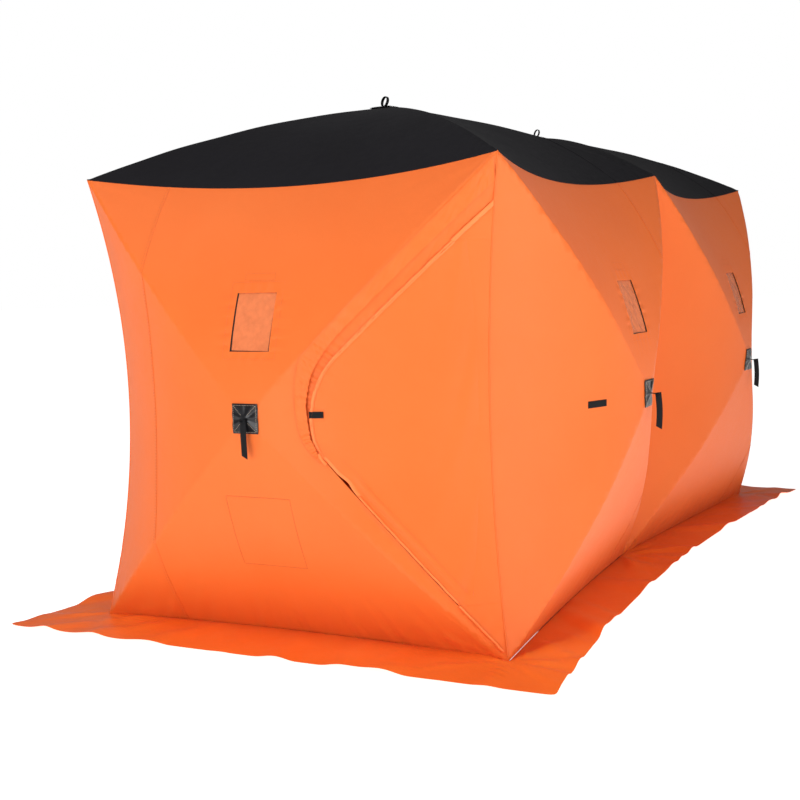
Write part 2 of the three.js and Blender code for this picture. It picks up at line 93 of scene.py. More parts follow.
FOOT_FOLDS = (0.0068, 0.21)   # folds drawn from a wall's foot corners: size, and how far they reach
CORNER_FOLDS = (0.0036, 0.17)  # the same from the other corners
EDGE_PUCKERS = {              # puckers along the edges of a cell: how many a metre, reach and size
    "foot": (7, 0.10, 0.005),
    "wall": (22, 0.035, 0.0011),
    "roof": (22, 0.035, 0.0026),
}

CLOTH = 0.0008                # thickness of the shown cloth
WEAVE = 900.0                 # its threads, in radians a metre
GRAIN_CONTRAST = 0.25         # how much lighter and darker a material's grain is
EDGE_STEP = 0.02              # spacing of points along the edges of a cell
COARSE = 0.026                # spacing of points inside a plain cell
FINE = 0.016                  # the same on the door wall
SMALL = 0.007                 # the same on small pieces

WINDOW = {"width": 0.17, "height": 0.212, "z": 1.227}
PANE_LAP = 0.016
HOOK_TAPE = 0.022             # width of the hook-and-loop frame behind the cloth
HOOK_SHOWS = 0.005            # how much of it shows inside the opening
WINDOW_HEM = {"width": 0.226, "height": 0.278, "above": 0.006}      # stitched line round a window
WINDOW_LABEL = {"width": 0.13, "height": 0.026, "above": 0.163}     # the short one over it

DOOR_HINGE_X = 0.78
DOOR_TOP = (0.745, 1.501)
DOOR_FOOT = (0.738, 0.205)
DOOR_UPPER = (0.345, 1.105)
DOOR_LOWER = (0.29, 0.735)
DOOR_NOSE = ((0.24, 1.0), (0.222, 0.83))
DOOR_GAP = 0.003
DOOR_BEND = 0.16              # width of the cloth that bends when the door is folded back
STRIP_ROOT = 0.895            # across: where the cloth strip beside the hinge line stops bending
HINGE_TAPE = {"width": 0.022, "x": 0.765, "foot": 0.215, "top": 1.49}
DOOR_TAB = (0.272, 0.895, 0.05, 0.023)        # these three: across, up, width, height
TIEBACK = (-1.288, 0.875, 0.1, 0.026)
POCKET = (0.0, 0.44, 0.28, 0.28)
PIPING = 0.0046               # radius of the piping along the lower zip

PATCH = 0.11                  # side of a hub patch
STRAP = {"width": 0.025, "length": 0.14, "thickness": 0.0018}
LOOP_STRAP = {"width": 0.024, "thickness": 0.0022}
FRONT_CORD = 0.012            # how far the front hub's strap stands out on its cord
OTHER_CORD = 0.030            # the same for the other wall hubs
SEAM_WIDTH = 0.012

# Camera: place, lens and the turns about up, right and the line of sight
CAMERA_PLACE = (2.6761, -6.02, 1.4099)
CAMERA_LENS = 59.13
YAW, PITCH, ROLL = 0.4769, -0.1005, -0.0293

# Disc lights: place, what they point at, diameter in metres and power in watts
LIGHTS = {
    "right_box": ((3.9, -2.1, 1.1), (0.9, -1.0, 0.9), 2.4, 54),
    "front_box": ((-0.4, -7.5, 1.2), (-0.2, -1.9, 0.9), 3.0, 132),
    "overhead": ((-0.3, -4.6, 6.2), (0, -1.4, 0.8), 4.0, 165),
}
AMBIENT = 0.24                # strength of the white surroundings, which the camera sees at 1

# ------------------------------------------------------------------ small helpers


def smooth(low, high, value):
    """0 below low, 1 above high, and an easy curve between them."""
    x = np.clip((value - low) / (high - low), 0, 1)
    return x * x * (3 - 2 * x)


def waves(seed, x, per_metre, octaves=4):
    """Smooth random waves along one coordinate, between about -1 and 1."""
    rng = np.random.default_rng(seed)
    total = np.zeros_like(np.asarray(x, float))
    for octave in range(octaves):
        rate = per_metre * (0.7 + 0.6 * rng.random()) * (1 + 0.9 * octave)
        total += np.sin(2 * math.pi * (rate * x + rng.random())) / (1 + octave)
    return total / 1.5


def ripples(seed, points, per_metre, count=7):
    """Smooth random waves over a plane, between about -1 and 1."""
    rng = np.random.default_rng(seed)
    total = np.zeros(len(points))
    for _ in range(count):
        angle = 2 * math.pi * rng.random()
        rate = per_metre * (0.5 + rng.random())
        along = points @ np.array([math.cos(angle), math.sin(angle)])
        total += np.sin(2 * math.pi * (rate * along + rng.random()))
    return total / (0.7 * count)


def bezier(start, first, second, end, steps):
    """Points along a cubic curve."""
    s = np.linspace(0, 1, steps + 1)[:, None]
    start, first, second, end = (np.array(p, float) for p in (start, first, second, end))
    ends = start * (1 - s) ** 3 + end * s ** 3
    return ends + first * 3 * s * (1 - s) ** 2 + second * 3 * s ** 2 * (1 - s)


def distances(path):
    """How far along a polyline each of its points is."""
    return np.concatenate([[0], np.cumsum(np.linalg.norm(np.diff(path, axis=0), axis=1))])


def resampled(path, step):
    """A polyline with its points about one step apart."""
    path = np.array(path, float)
    along = distances(path)
    count = max(2, int(round(along[-1] / step)) + 1)
    at = np.linspace(0, along[-1], count)
    return np.stack([np.interp(at, along, path[:, k]) for k in range(path.shape[1])], axis=1)


def closed_loop(corners, step):
    """A closed polyline through the corners, points about one step apart, the first not repeated."""
    pieces = []
    for start, end in zip(corners, corners[1:] + corners[:1]):
        pieces.append(resampled([start, end], step)[:-1])
    return np.concatenate(pieces)


def closed(loop):
    """A loop with its first point repeated at the end."""
    return np.vstack([loop, loop[:1]])


def inside(points, loop):
    """Which points lie inside a loop."""
    result = np.zeros(len(points), bool)
    x, y = points[:, 0], points[:, 1]
    for (x0, y0), (x1, y1) in zip(loop, np.roll(loop, -1, axis=0)):
        crosses = (y0 > y) != (y1 > y)
        if y1 != y0:
            result ^= crosses & (x < (x1 - x0) * (y - y0) / (y1 - y0) + x0)
    return result


def path_distance(points, path):
    """Each point's distance to a polyline, and how far along it the nearest place is."""
    best = np.full(len(points), 1e9)
    where = np.zeros(len(points))
    run = 0.0
    for start, end in zip(path[:-1], path[1:]):
        span = end - start
        length = np.linalg.norm(span)
        if length < 1e-9:
            continue
        share = np.clip((points - start) @ span / length ** 2, 0, 1)
        away = np.linalg.norm(points - start - share[:, None] * span, axis=1)
        nearer = away < best
        best[nearer] = away[nearer]
        where[nearer] = run + share[nearer] * length
        run += length
    return best, where


def triangulate(loops, lines, step, dense=()):
    """Triangles inside the first loop and outside the others, with the lines as edges. dense holds
    (loop or path, reach, step): points nearer than reach to it are that much closer together."""
    outer = loops[0]
    rim = [closed(loop) for loop in loops] + list(lines)
    low, high = outer.min(axis=0), outer.max(axis=0)

    def lattice(pitch):
        xs = np.arange(low[0], high[0] + pitch, pitch)
        ys = np.arange(low[1], high[1] + pitch, pitch * 0.866)
        grid = np.array([(x + (row % 2) * pitch / 2, y) for row, y in enumerate(ys) for x in xs])
        keep = inside(grid, outer)
        for hole in loops[1:]:
            keep &= ~inside(grid, hole)
        return grid[keep]

    inner = lattice(step)
    for path, reach, pitch in dense:
        inner = inner[path_distance(inner, path)[0] > reach]
    inner = [inner]
    for number, (path, reach, pitch) in enumerate(dense):
        extra = lattice(pitch)
        extra = extra[path_distance(extra, path)[0] < reach]
        for earlier, earlier_reach, _ in dense[:number]:
            extra = extra[path_distance(extra, earlier)[0] > earlier_reach]
        inner.append(extra)
    inner = np.concatenate(inner)
    gap = min([step] + [pitch for _, _, pitch in dense]) * 0.45
    for path in rim:
        inner = inner[path_distance(inner, path)[0] > gap]
    points, edges = [], []
    for loop in loops:
        first = len(points)
        points += [Vector(p) for p in loop]
        edges += [(first + k, first + (k + 1) % len(loop)) for k in range(len(loop))]
    for line in lines:
        first = len(points)
        points += [Vector(p) for p in line]
        edges += [(first + k, first + k + 1) for k in range(len(line) - 1)]
    points += [Vector(p) for p in inner]
    found = delaunay_2d_cdt(points, edges, [], 0, 1e-6)
    flat = np.array([tuple(p) for p in found[0]])
    faces = np.array([tuple(f) for f in found[2]])
    middle = flat[faces].mean(axis=1)
    keep = inside(middle, outer)
    for hole in loops[1:]:
        keep &= ~inside(middle, hole)
    faces = faces[keep]
    a, b, c = (flat[faces[:, k]] for k in range(3))
    turn = (b[:, 0] - a[:, 0]) * (c[:, 1] - a[:, 1]) - (b[:, 1] - a[:, 1]) * (c[:, 0] - a[:, 0])
    faces[turn < 0] = faces[turn < 0][:, ::-1]
    faces = faces[np.abs(turn) > 1e-9]
    used, faces = np.unique(faces, return_inverse=True)
    return flat[used], faces.reshape(-1, 3)


# ------------------------------------------------------------------ the cells of cloth


class Cell:
    """One square of cloth on its four poles. Corners run clockwise from the upper left, seen from
    outside; pulls are how far tension moves the middle of each free edge."""

    def __init__(self, name, corners, hub, out, across, pulls):
        self.name = name
        self.corners = [np.array(c, float) for c in corners]
        self.hub = np.array(hub, float)
        self.out = np.array(out, float)
        self.across = np.array(across, float)
        self.up = np.cross(self.out, self.across)
        self.pulls = [np.array(p, float) for p in pulls]
        self.body = "hub_" + name

    def flat(self, points):
        """Points in space as places in the plane of the cell."""
        points = np.atleast_2d(points)
        return np.stack([points @ self.across, points @ self.up], axis=1)

    def ridge(self, corner, t):
        """Places along a bowed pole, from its corner at 0 to the hub at 1."""
        t = np.asarray(t, float)[..., None]
        start = self.corners[corner % 4]
        return start + (self.hub - start) * t + self.out * POLE_BOW * 4 * t * (1 - t)

    def cloth(self, quarter, u, t):
        """Places on one quarter: u goes along its edge, t from the edge to the hub."""
        u = np.asarray(u, float)
        t = np.asarray(t, float)
        sag = (4 * u * (1 - u) * (1 - t) ** 2)[..., None]
        here = self.ridge(quarter, t)
        return here + (self.ridge(quarter + 1, t) - here) * u[..., None] + sag * self.pulls[quarter]

    def places(self, quarter, u, t):
        """The places in space of points in several quarters."""
        place = np.zeros((len(u), 3))
        for q in range(4):
            mine = quarter == q
            place[mine] = self.cloth(q, u[mine], t[mine])
        return place

    def edge(self, quarter, step=EDGE_STEP):
        length = np.linalg.norm(self.corners[(quarter + 1) % 4] - self.corners[quarter])
        u = np.linspace(0, 1, int(round(length / step)) + 1)
        return self.cloth(quarter, u, np.zeros_like(u))

    def outline(self):
        return self.flat(np.concatenate([self.edge(q)[:-1] for q in range(4)]))

    def ridge_lines(self, step=0.018):
        hub = self.flat(self.hub)[0]
        return [resampled([self.flat(c)[0], hub], step)[1:-1] for c in self.corners] + [np.array([hub])]

    def locate(self, points):
        """Quarter, u and t of points given in the plane of the cell."""
        hub = self.flat(self.hub)[0]
        quarter = np.zeros(len(points), int)
        u = np.full(len(points), 0.5)
        t = np.full(len(points), 0.5)
        best = np.full(len(points), -1e9)
        for q in range(4):
            a = self.flat(self.corners[q])[0] - hub
            b = self.flat(self.corners[(q + 1) % 4])[0] - hub
            share = np.linalg.solve(np.stack([a, b], axis=1), (points - hub).T).T
            score = share.min(axis=1)
            better = score > best
            best[better] = score[better]
            quarter[better] = q
            total = share.sum(axis=1)
            t[better] = np.clip(1 - total, 0, 1)[better]
            u[better] = np.clip(share[:, 1] / np.maximum(total, 1e-9), 0, 1)[better]
        for q in range(4):
            mine = quarter == q
            if not mine.any():
                continue
            a, b = self.flat(self.corners[q])[0], self.flat(self.corners[(q + 1) % 4])[0]
            pull = self.flat(self.pulls[q])[0]
            uu, tt, goal = u[mine], t[mine], points[mine]
            for _ in range(12):
                base = a + (b - a) * uu[:, None]
                sag = (4 * uu * (1 - uu) * (1 - tt) ** 2)[:, None]
                error = base + (hub - base) * tt[:, None] + sag * pull - goal
                by_u = (b - a) * (1 - tt)[:, None] + pull * (4 * (1 - 2 * uu) * (1 - tt) ** 2)[:, None]
                by_t = hub - base - pull * (8 * uu * (1 - uu) * (1 - tt))[:, None]
                det = by_u[:, 0] * by_t[:, 1] - by_u[:, 1] * by_t[:, 0]
                det = np.where(np.abs(det) < 1e-7, 1e-7, det)
                uu = np.clip(uu - (error[:, 0] * by_t[:, 1] - error[:, 1] * by_t[:, 0]) / det, 0, 1)
                tt = np.clip(tt - (by_u[:, 0] * error[:, 1] - by_u[:, 1] * error[:, 0]) / det, 0, 1)
            u[mine], t[mine] = uu, tt
        return quarter, u, t

    def relief(self, points, quarter, u, t):
        """Slack, stress folds and puckers of the cloth, along the cell's outward direction."""
        seed = sum(ord(letter) for letter in self.name)
        wall = abs(self.out[2]) < 0.5
        edge = t * 0.9
        height = 0.0022 * ripples(seed, points, 2.2) * smooth(0, 0.25, edge)
        for number, corner in enumerate(self.corners):
            centre = self.flat(corner)[0]
            toward = self.flat(self.hub)[0] - centre
            away = points - centre
            reach = np.linalg.norm(away, axis=1)
            angle = np.arctan2(
                toward[0] * away[:, 1] - toward[1] * away[:, 0],
                away @ toward,
            )
            soft = waves(seed * 7 + number, angle, 2.6, 5)
            folds = 0.6 * soft + 1.3 * (0.4 - np.abs(waves(seed * 5 + number, angle, 3.4, 3)))
            size, fade = FOOT_FOLDS if wall and number > 1 else CORNER_FOLDS
            height += size * folds * smooth(0.01, 0.09, reach) * np.exp(-reach / fade)
        along = u * 1.8
        for q in range(4):
            mine = quarter == q
            rate, depth, size = EDGE_PUCKERS["foot" if wall and q == 2 else "wall" if wall else "roof"]
            pucker = waves(seed * 11 + q, along[mine], rate, 4)
            height[mine] += size * pucker * np.exp(-edge[mine] / depth)
        return height * smooth(0, 0.012, edge)


def end_cell(name, side):
    """The cell of an end wall; side is -1 for the front and +1 for the back."""
    w, y, x = HALF_WIDTH, side * HALF_LENGTH, -side
    return Cell(
        name,
        [(-w * x, y, EAVES), (w * x, y, EAVES), (w * x, y, FOOT), (-w * x, y, FOOT)],
        (0, y + side * END_BULGE, WALL_HUB),
        (0, side, 0),
        (x, 0, 0),
        [
            (0, -side * EAVES_PULL, -EAVES_DROP),
            (-x * CORNER_PULL, -side * CORNER_PULL, 0),
            (0, -side * END_FOOT_PULL, 0),
            (x * CORNER_PULL, -side * CORNER_PULL, 0),
        ],
    )


def side_cell(name, side, y_end):
    """side is +1 for the right wall; y_end is -1 for the cell next to the door wall."""
    w, length = side * HALF_WIDTH, y_end * HALF_LENGTH
    end_top, end_foot = (w, length, EAVES), (w, length, FOOT)
    mid_top = (w + side * MID_TOP_OUT, 0, EAVES)
    mid_foot = (w - side * MID_FOOT_IN, 0, FOOT)
    seam = (-side * MID_SEAM_PULL, 0, 0)
    corner = (-side * CORNER_PULL, -y_end * CORNER_PULL, 0)
    end_first = side * y_end < 0
    return Cell(
        name,
        [end_top, mid_top, mid_foot, end_foot] if end_first else [mid_top, end_top, end_foot, mid_foot],
        (w + side * SIDE_BULGE, length / 2, WALL_HUB),
        (side, 0, 0),
        (0, side, 0),
        [
            (-side * EAVES_PULL, 0, -EAVES_DROP),
            seam if end_first else corner,
            (-side * SIDE_FOOT_PULL, 0, 0),
            corner if end_first else seam,
        ],
    )


def roof_cell(name, y_end):
    """A roof cell, from the middle seam to the front (-1) or the back (1)."""
    mid, w = HALF_WIDTH + MID_TOP_OUT, HALF_WIDTH
    length = y_end * HALF_LENGTH
    back, front = (w, length) if y_end > 0 else (mid, 0), (mid, 0) if y_end > 0 else (w, length)
    middle, end = (0, 0, ROOF_SEAM_RISE), (0, -y_end * EAVES_PULL, -EAVES_DROP)
    return Cell(
        name,
        [
            (-back[0], back[1], EAVES),
            (back[0], back[1], EAVES),
            (front[0], front[1], EAVES),
            (-front[0], front[1], EAVES),
        ],
        (0, length / 2, RIDGE),
        (0, 0, 1),
        (1, 0, 0),
        [
            end if y_end > 0 else middle,
            (-EAVES_PULL, 0, -EAVES_DROP),
            middle if y_end > 0 else end,
            (EAVES_PULL, 0, -EAVES_DROP),
        ],
    )


cells = {
    "front": end_cell("front", -1),
    "back": end_cell("back", 1),
    "right_1": side_cell("right_1", 1, -1),
    "right_2": side_cell("right_2", 1, 1),
    "left_1": side_cell("left_1", -1, -1),
    "left_2": side_cell("left_2", -1, 1),
    "roof_1": roof_cell("roof_1", -1),
    "roof_2": roof_cell("roof_2", 1),
}

# ------------------------------------------------------------------ materials


class Surface:
    """A node material being built on its own Principled shader."""

    def __init__(self, name):
        self.material = bpy.data.materials.new(name)
        self.material.use_nodes = True
        self.nodes = self.material.node_tree.nodes
        self.shader = self.nodes["Principled BSDF"]

    def link(self, output, socket):
        self.material.node_tree.links.new(output, socket)

    def add(self, kind, inputs=None, **settings):
        node = self.nodes.new(kind)
        for key, value in settings.items():
            setattr(node, key, value)
        for key, value in (inputs or {}).items():
            node.inputs[key].default_value = value
        return node

    def noise(self, place, scale, detail, roughness):
        inputs = {"Scale": scale, "Detail": detail, "Roughness": roughness}
        texture = self.add("ShaderNodeTexNoise", inputs)
        self.link(place.outputs["Object"], texture.inputs["Vector"])
        return texture.outputs["Fac"]

    def tint(self, amount, stops):
        """Base colour from stops, each a position and a colour."""
        ramp = self.add("ShaderNodeValToRGB")
        elements = ramp.color_ramp.elements
        elements[0].position = stops[0][0]
        elements[1].position = stops[-1][0]
        for position, _ in stops[1:-1]:
            elements.new(position)
        for element, (_, color) in zip(elements, stops):
            element.color = (*color, 1)
        self.link(amount, ramp.inputs["Fac"])
        self.link(ramp.outputs["Color"], self.shader.inputs["Base Color"])

    def spread(self, amount, low, high, socket):
        """Drives a socket of the shader between two values."""
        mapped = self.add("ShaderNodeMapRange", {"To Min": low, "To Max": high})
        self.link(amount, mapped.inputs["Value"])
        self.link(mapped.outputs["Result"], self.shader.inputs[socket])

    def bump(self, height, strength, distance, under=None):
        bumps = self.add("ShaderNodeBump", {"Strength": strength, "Distance": distance})
        self.link(height, bumps.inputs["Height"])
        if under is not None:
            self.link(under.outputs["Normal"], bumps.inputs["Normal"])
        self.link(bumps.outputs["Normal"], self.shader.inputs["Normal"])
        return bumps

    def fix(self, **values):
        """Sets sockets of the shader that are the same all over the surface."""
        for key, value in values.items():
            self.shader.inputs[key.replace("_", " ")].default_value = value


def cloth_material(name, base, shade, light, roughness, see_through, sheen, shine):
    """Coated oxford cloth: a fine plain weave, soft creases, and a slow drift of colour."""
    surface = Surface(name)
    place = surface.add("ShaderNodeTexCoord")
    drift = surface.noise(place, 2.3, 4.0, 0.6)
    surface.tint(drift, [(0.3, shade), (0.5, base), (0.72, light)])
    threads = None
    for axis in ("X", "Z", "Y"):
        inputs = {"Scale": WEAVE / 6.283, "Distortion": 0.4, "Detail": 1.0}
        wave = surface.add("ShaderNodeTexWave", inputs, bands_direction=axis)
        surface.link(place.outputs["Object"], wave.inputs["Vector"])
        if threads is None:
            threads = wave.outputs["Fac"]
            continue
        both = surface.add("ShaderNodeMath", operation="ADD")
        surface.link(threads, both.inputs[0])
        surface.link(wave.outputs["Fac"], both.inputs[1])
        threads = both.outputs[0]
    crease = surface.noise(place, 26.0, 5.0, 0.62)
    weave = surface.bump(threads, 0.12, 0.0004)
    surface.bump(crease, 0.22, 0.004, weave)
    surface.spread(crease, roughness - 0.06, roughness + 0.08, "Roughness")
    surface.fix(Sheen_Weight=sheen, Sheen_Roughness=0.45, Specular_IOR_Level=shine)
    if see_through:
        glow = surface.add("ShaderNodeBsdfTranslucent", {"Color": (*light, 1)})
        mix = surface.add("ShaderNodeMixShader", {"Fac": see_through})
        surface.link(surface.shader.outputs[0], mix.inputs[1])
        surface.link(glow.outputs[0], mix.inputs[2])
        surface.link(mix.outputs[0], surface.nodes["Material Output"].inputs["Surface"])
    return surface.material


def plain_material(name, color, roughness, metallic=0.0, grain=60.0, bump=0.15, **values):
    """A moulded, woven or metal surface with a grain in its colour, roughness and bump."""
    surface = Surface(name)
    place = surface.add("ShaderNodeTexCoord")
    noise = surface.noise(place, grain, 6.0, 0.6)
    dark = [c * (1 - GRAIN_CONTRAST) for c in color]
    pale = [min(1, c * (1 + GRAIN_CONTRAST)) for c in color]
    surface.tint(noise, [(0.3, dark), (0.7, pale)])
    surface.spread(noise, roughness * 0.8, min(1, roughness * 1.2), "Roughness")
    surface.bump(noise, bump, 0.0006)
    surface.fix(Metallic=metallic, **values)
    return surface.material


def film_material():
    """Clear soft film: mostly see-through, with glossy creases and an orange body colour that is painted
    glow of the lit orange inside seen through it.
    """
    surface = Surface("clear_film")
    place = surface.add("ShaderNodeTexCoord")
    crease = surface.noise(place, 34.0, 3.0, 0.5)
    surface.bump(crease, 0.5, 0.005)
    surface.spread(crease, 0.45, 0.75, "Alpha")
    # Orange base colour: painted glow of the lit orange inside of the tent, seen through the pane.
    surface.fix(Base_Color=(0.95, 0.27, 0.1, 1), Roughness=0.08, Specular_IOR_Level=0.4)
    return surface.material


def floor_material(name, grey, glow):
    """A plain floor that also gives off some light of its own."""
    surface = Surface(name)
    surface.fix(
        Base_Color=(grey, grey, grey, 1), Roughness=0.85,
        Emission_Color=(1, 1, 1, 1), Emission_Strength=glow,
    )
    return surface.material


ORANGE = cloth_material(
    "orange_cloth", (0.93, 0.185, 0.028), (0.92, 0.177, 0.025), (0.94, 0.193, 0.031), 0.5, 0.2,
    sheen=0.05, shine=0.3,
)
SKIRT = cloth_material(
    "skirt_cloth", (0.94, 0.175, 0.02), (0.9, 0.15, 0.013), (0.96, 0.205, 0.03), 0.36, 0.0,
    sheen=0.02, shine=0.35,
)
# Darker, redder copy of the orange cloth: painted shade for the sunken band between the storm flap and the
# door.
RECESS_PAINTED_SHADE = cloth_material(
    "recess_cloth", (0.92, 0.165, 0.024), (0.9, 0.15, 0.02), (0.93, 0.18, 0.028), 0.5, 0.12,
    sheen=0.05, shine=0.3,
)
HEM = cloth_material(
    "hem_cloth", (0.95, 0.2, 0.042), (0.92, 0.18, 0.03), (0.97, 0.23, 0.056), 0.5, 0.0,
    sheen=0.05, shine=0.35,
)
BLACK = cloth_material(
    "black_cloth", (0.0078, 0.007, 0.0092), (0.0068, 0.006, 0.008), (0.0092, 0.0082, 0.0108), 0.6, 0.0,
    sheen=0.0, shine=0.12,
)
WEBBING = plain_material(
    "black_webbing", (0.009, 0.009, 0.010), 0.8, grain=420.0, bump=0.9, Specular_IOR_Level=0.15,
)
VINYL = plain_material(
    "black_vinyl", (0.006, 0.0055, 0.007), 0.3, grain=90.0, bump=0.25,
    Coat_Weight=0.12, Specular_IOR_Level=0.3,
)
HOOK = plain_material("hook_tape", (0.012, 0.008, 0.007), 0.9, grain=700.0, bump=1.0)
THREAD = plain_material("tan_thread", (0.42, 0.33, 0.25), 0.6, grain=900.0, bump=0.6)
THREAD_ORANGE = plain_material("orange_thread", (0.80, 0.17, 0.04), 0.55, grain=900.0, bump=0.6)
THREAD_DARK = plain_material("dark_orange_thread", (0.68, 0.13, 0.025), 0.6, grain=900.0, bump=0.6)
FILM_PAINTED_GLOW = film_material()
HUB_PLASTIC = plain_material("hub_nylon", (0.022, 0.022, 0.024), 0.5, grain=160.0, bump=0.35)
POLE = plain_material("fibreglass_rod", (0.03, 0.031, 0.034), 0.32, grain=45.0, bump=0.2, Coat_Weight=0.3)
ZINC = plain_material("cast_zinc", (0.45, 0.45, 0.47), 0.34, metallic=1.0, grain=240.0, bump=0.25)

# ------------------------------------------------------------------ mesh makers


def make_object(name, points, faces, material):
    """A smooth mesh of points and faces, in the scene."""
    mesh = bpy.data.meshes.new(name)
    mesh.from_pydata([tuple(p) for p in points], [], [tuple(int(i) for i in f) for f in faces])
    mesh.materials.append(material)
    mesh.polygons.foreach_set("use_smooth", [True] * len(mesh.polygons))
    mesh.update()
    thing = bpy.data.objects.new(name, mesh)
    bpy.context.scene.collection.objects.link(thing)
    return thing


def solidify(thing, thickness):
    """Gives a sheet its thickness, shaded by its broad faces so that the cut edge does not smear."""
    modifier = thing.modifiers.new("thickness", "SOLIDIFY")
    modifier.thickness = thickness
    modifier.offset = -1.0
    even = thing.modifiers.new("even_shading", "WEIGHTED_NORMAL")
    even.mode = "FACE_AREA"
    even.weight = 100
    return thing


def follow(thing, body, weights):
    """Bends a piece between the shell and a body, with each point's own share of the body."""
    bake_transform(thing, "shell", body, (0, 0, 0), (0, 0, 1))
    thing.data.attributes["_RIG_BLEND"].data.foreach_set("value", np.asarray(weights, np.float32))
    return thing


def hub_share(t):
    """How far cloth goes along with its hub: not at all in the rim that lies outside the pole tips."""
    return np.clip((t - STILL_RIM) / (1 - STILL_RIM), 0, 1)


def grid_faces(rows, count):
    """Triangles between rows of points."""
    faces = []
    for row in range(rows - 1):
        for k in range(count - 1):
            a, b = row * count + k, (row + 1) * count + k
            faces += [(a, a + 1, b + 1), (a, b + 1, b)]
    return np.array(faces)


def ribbon(path, width, step):
    """Flat points and faces of a band along a path in the plane of a cell."""
    path = resampled(path, step)
    ahead = np.gradient(path, axis=0)
    ahead /= np.linalg.norm(ahead, axis=1)[:, None]
    side = np.stack([-ahead[:, 1], ahead[:, 0]], axis=1)
    rows = [path + side * width * share for share in (-0.5, -0.17, 0.17, 0.5)]
    points = np.concatenate(rows)
    return points, grid_faces(4, len(path))


def bend_with_door(thing):
    """Stays with the door's seam at the hinge line and goes wholly with the door beyond its bend."""
    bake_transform(thing, "door_seam", "door", (DOOR_HINGE_X, 0, 0), (DOOR_HINGE_X - DOOR_BEND, 0, 0))


def ring_faces(rings, sides, capped=True):
    """Faces of a tube made of rings of points."""
    faces = []
    for ring in range(rings - 1):
        for k in range(sides):
            a, b = ring * sides + k, ring * sides + (k + 1) % sides
            faces.append((a, a + sides, b + sides, b))
    if not capped:
        return faces
    faces.append(tuple(range(sides)))
    last = (rings - 1) * sides
    faces.append(tuple(last + k for k in reversed(range(sides))))
    return faces


def tube(name, path, radius, material, sides=8):
    """A round cord or piping along a path in space."""
    path = np.array(path, float)
    ahead = np.gradient(path, axis=0)
    ahead /= np.linalg.norm(ahead, axis=1)[:, None]
    guide = np.array([0.0, 0.0, 1.0]) if abs(ahead[0][2]) < 0.8 else np.array([1.0, 0.0, 0.0])
    points = []
    for centre, forward in zip(path, ahead):
        side = np.cross(forward, guide)
        side /= np.linalg.norm(side)
        guide = np.cross(side, forward)
        for k in range(sides):
            angle = 2 * math.pi * k / sides
            points.append(centre + radius * (math.cos(angle) * side + math.sin(angle) * guide))
    thing = make_object(name, points, ring_faces(len(path), sides), material)
    return thing


# ------------------------------------------------------------------ outlines in the plane of a cell


def rectangle(x, y, width, height, step=SMALL):
    """A closed loop round a rectangle centred on x, y."""
    w, h = width / 2, height / 2
    return closed_loop([(x - w, y - h), (x + w, y - h), (x + w, y + h), (x - w, y + h)], step)


def door_edge(inset):
    """The three free edges of the door, from the top of its hinge line round the nose to its foot."""
    upper = (DOOR_UPPER[0] + inset, DOOR_UPPER[1] - inset)
    lower = (DOOR_LOWER[0] + inset, DOOR_LOWER[1] + inset / 2)
    nose = bezier(
        upper,
        (DOOR_NOSE[0][0] + inset, DOOR_NOSE[0][1]),
        (DOOR_NOSE[1][0] + inset, DOOR_NOSE[1][1]),
        lower,
        32,
    )
    hidden = inset * 0.1
    return np.vstack([
        [(DOOR_HINGE_X, DOOR_TOP[1] - hidden)],
        [(DOOR_TOP[0] + inset, DOOR_TOP[1] - hidden)],
        nose,
        [(DOOR_FOOT[0] + inset, DOOR_FOOT[1] + hidden)],
        [(DOOR_HINGE_X, DOOR_FOOT[1] + hidden)],
    ])


def door_outline():
    """The hole in the front wall that the door fills."""
    edge = door_edge(0.0)
    return np.vstack([resampled(edge, 0.012)[:-1], resampled([edge[-1], edge[0]], 0.012)[:-1]])


def strip_outline(cell):
    """The cloth between the hinge line and the corner seam, as tall as the hinge line."""
    step = 0.014
    low, high = DOOR_FOOT[1], DOOR_TOP[1]
    seam = cell.flat(cell.edge(1, 0.012))
    seam = seam[(seam[:, 1] > low + 0.004) & (seam[:, 1] < high - 0.004)][::-1]
    foot = np.array([np.interp(low, seam[:, 1], seam[:, 0]), low])
    head = np.array([np.interp(high, seam[:, 1], seam[:, 0]), high])
    hinge_foot, hinge_head = (DOOR_HINGE_X, low), (DOOR_HINGE_X, high)
    return np.vstack([
        resampled([hinge_foot, foot], step)[:-1],
        [foot],
        seam,
        resampled([head, hinge_head], step)[:-1],
        resampled([hinge_head, hinge_foot], 0.012)[:-1],
    ])


def window_loop(cell):
    """The opening of a window, over the hub of its cell."""
    x = float(cell.flat(cell.hub)[0][0])
    return rectangle(x, WINDOW["z"], WINDOW["width"], WINDOW["height"])


# ------------------------------------------------------------------ camera, light and floor


def place_camera():
    """The camera, turned by YAW, PITCH and ROLL."""
    forward = Vector((-math.sin(YAW) * math.cos(PITCH), math.cos(YAW) * math.cos(PITCH), math.sin(PITCH)))
    right = Vector((math.cos(YAW), math.sin(YAW), 0))
    up = right.cross(forward)
    turned_right = math.cos(ROLL) * right + math.sin(ROLL) * up
    turned_up = -math.sin(ROLL) * right + math.cos(ROLL) * up
    camera = bpy.data.objects.new("camera", bpy.data.cameras.new("camera"))
    camera.data.sensor_width = 36.0
    camera.data.lens = CAMERA_LENS
    columns = Matrix((turned_right, turned_up, -forward)).transposed()
    camera.matrix_world = Matrix.Translation(CAMERA_PLACE) @ columns.to_4x4()
    bpy.context.scene.collection.objects.link(camera)
    bpy.context.scene.camera = camera


def area_light(name, place, target, size, power):
    """A round light aimed at a target."""
    light = bpy.data.lights.new(name, "AREA")
    light.shape = "DISK"
    light.size = size
    light.energy = power
    thing = bpy.data.objects.new(name, light)
    thing.location = place
    aim = Vector(target) - Vector(place)
    thing.rotation_euler = aim.to_track_quat("-Z", "Y").to_euler()
    bpy.context.scene.collection.objects.link(thing)


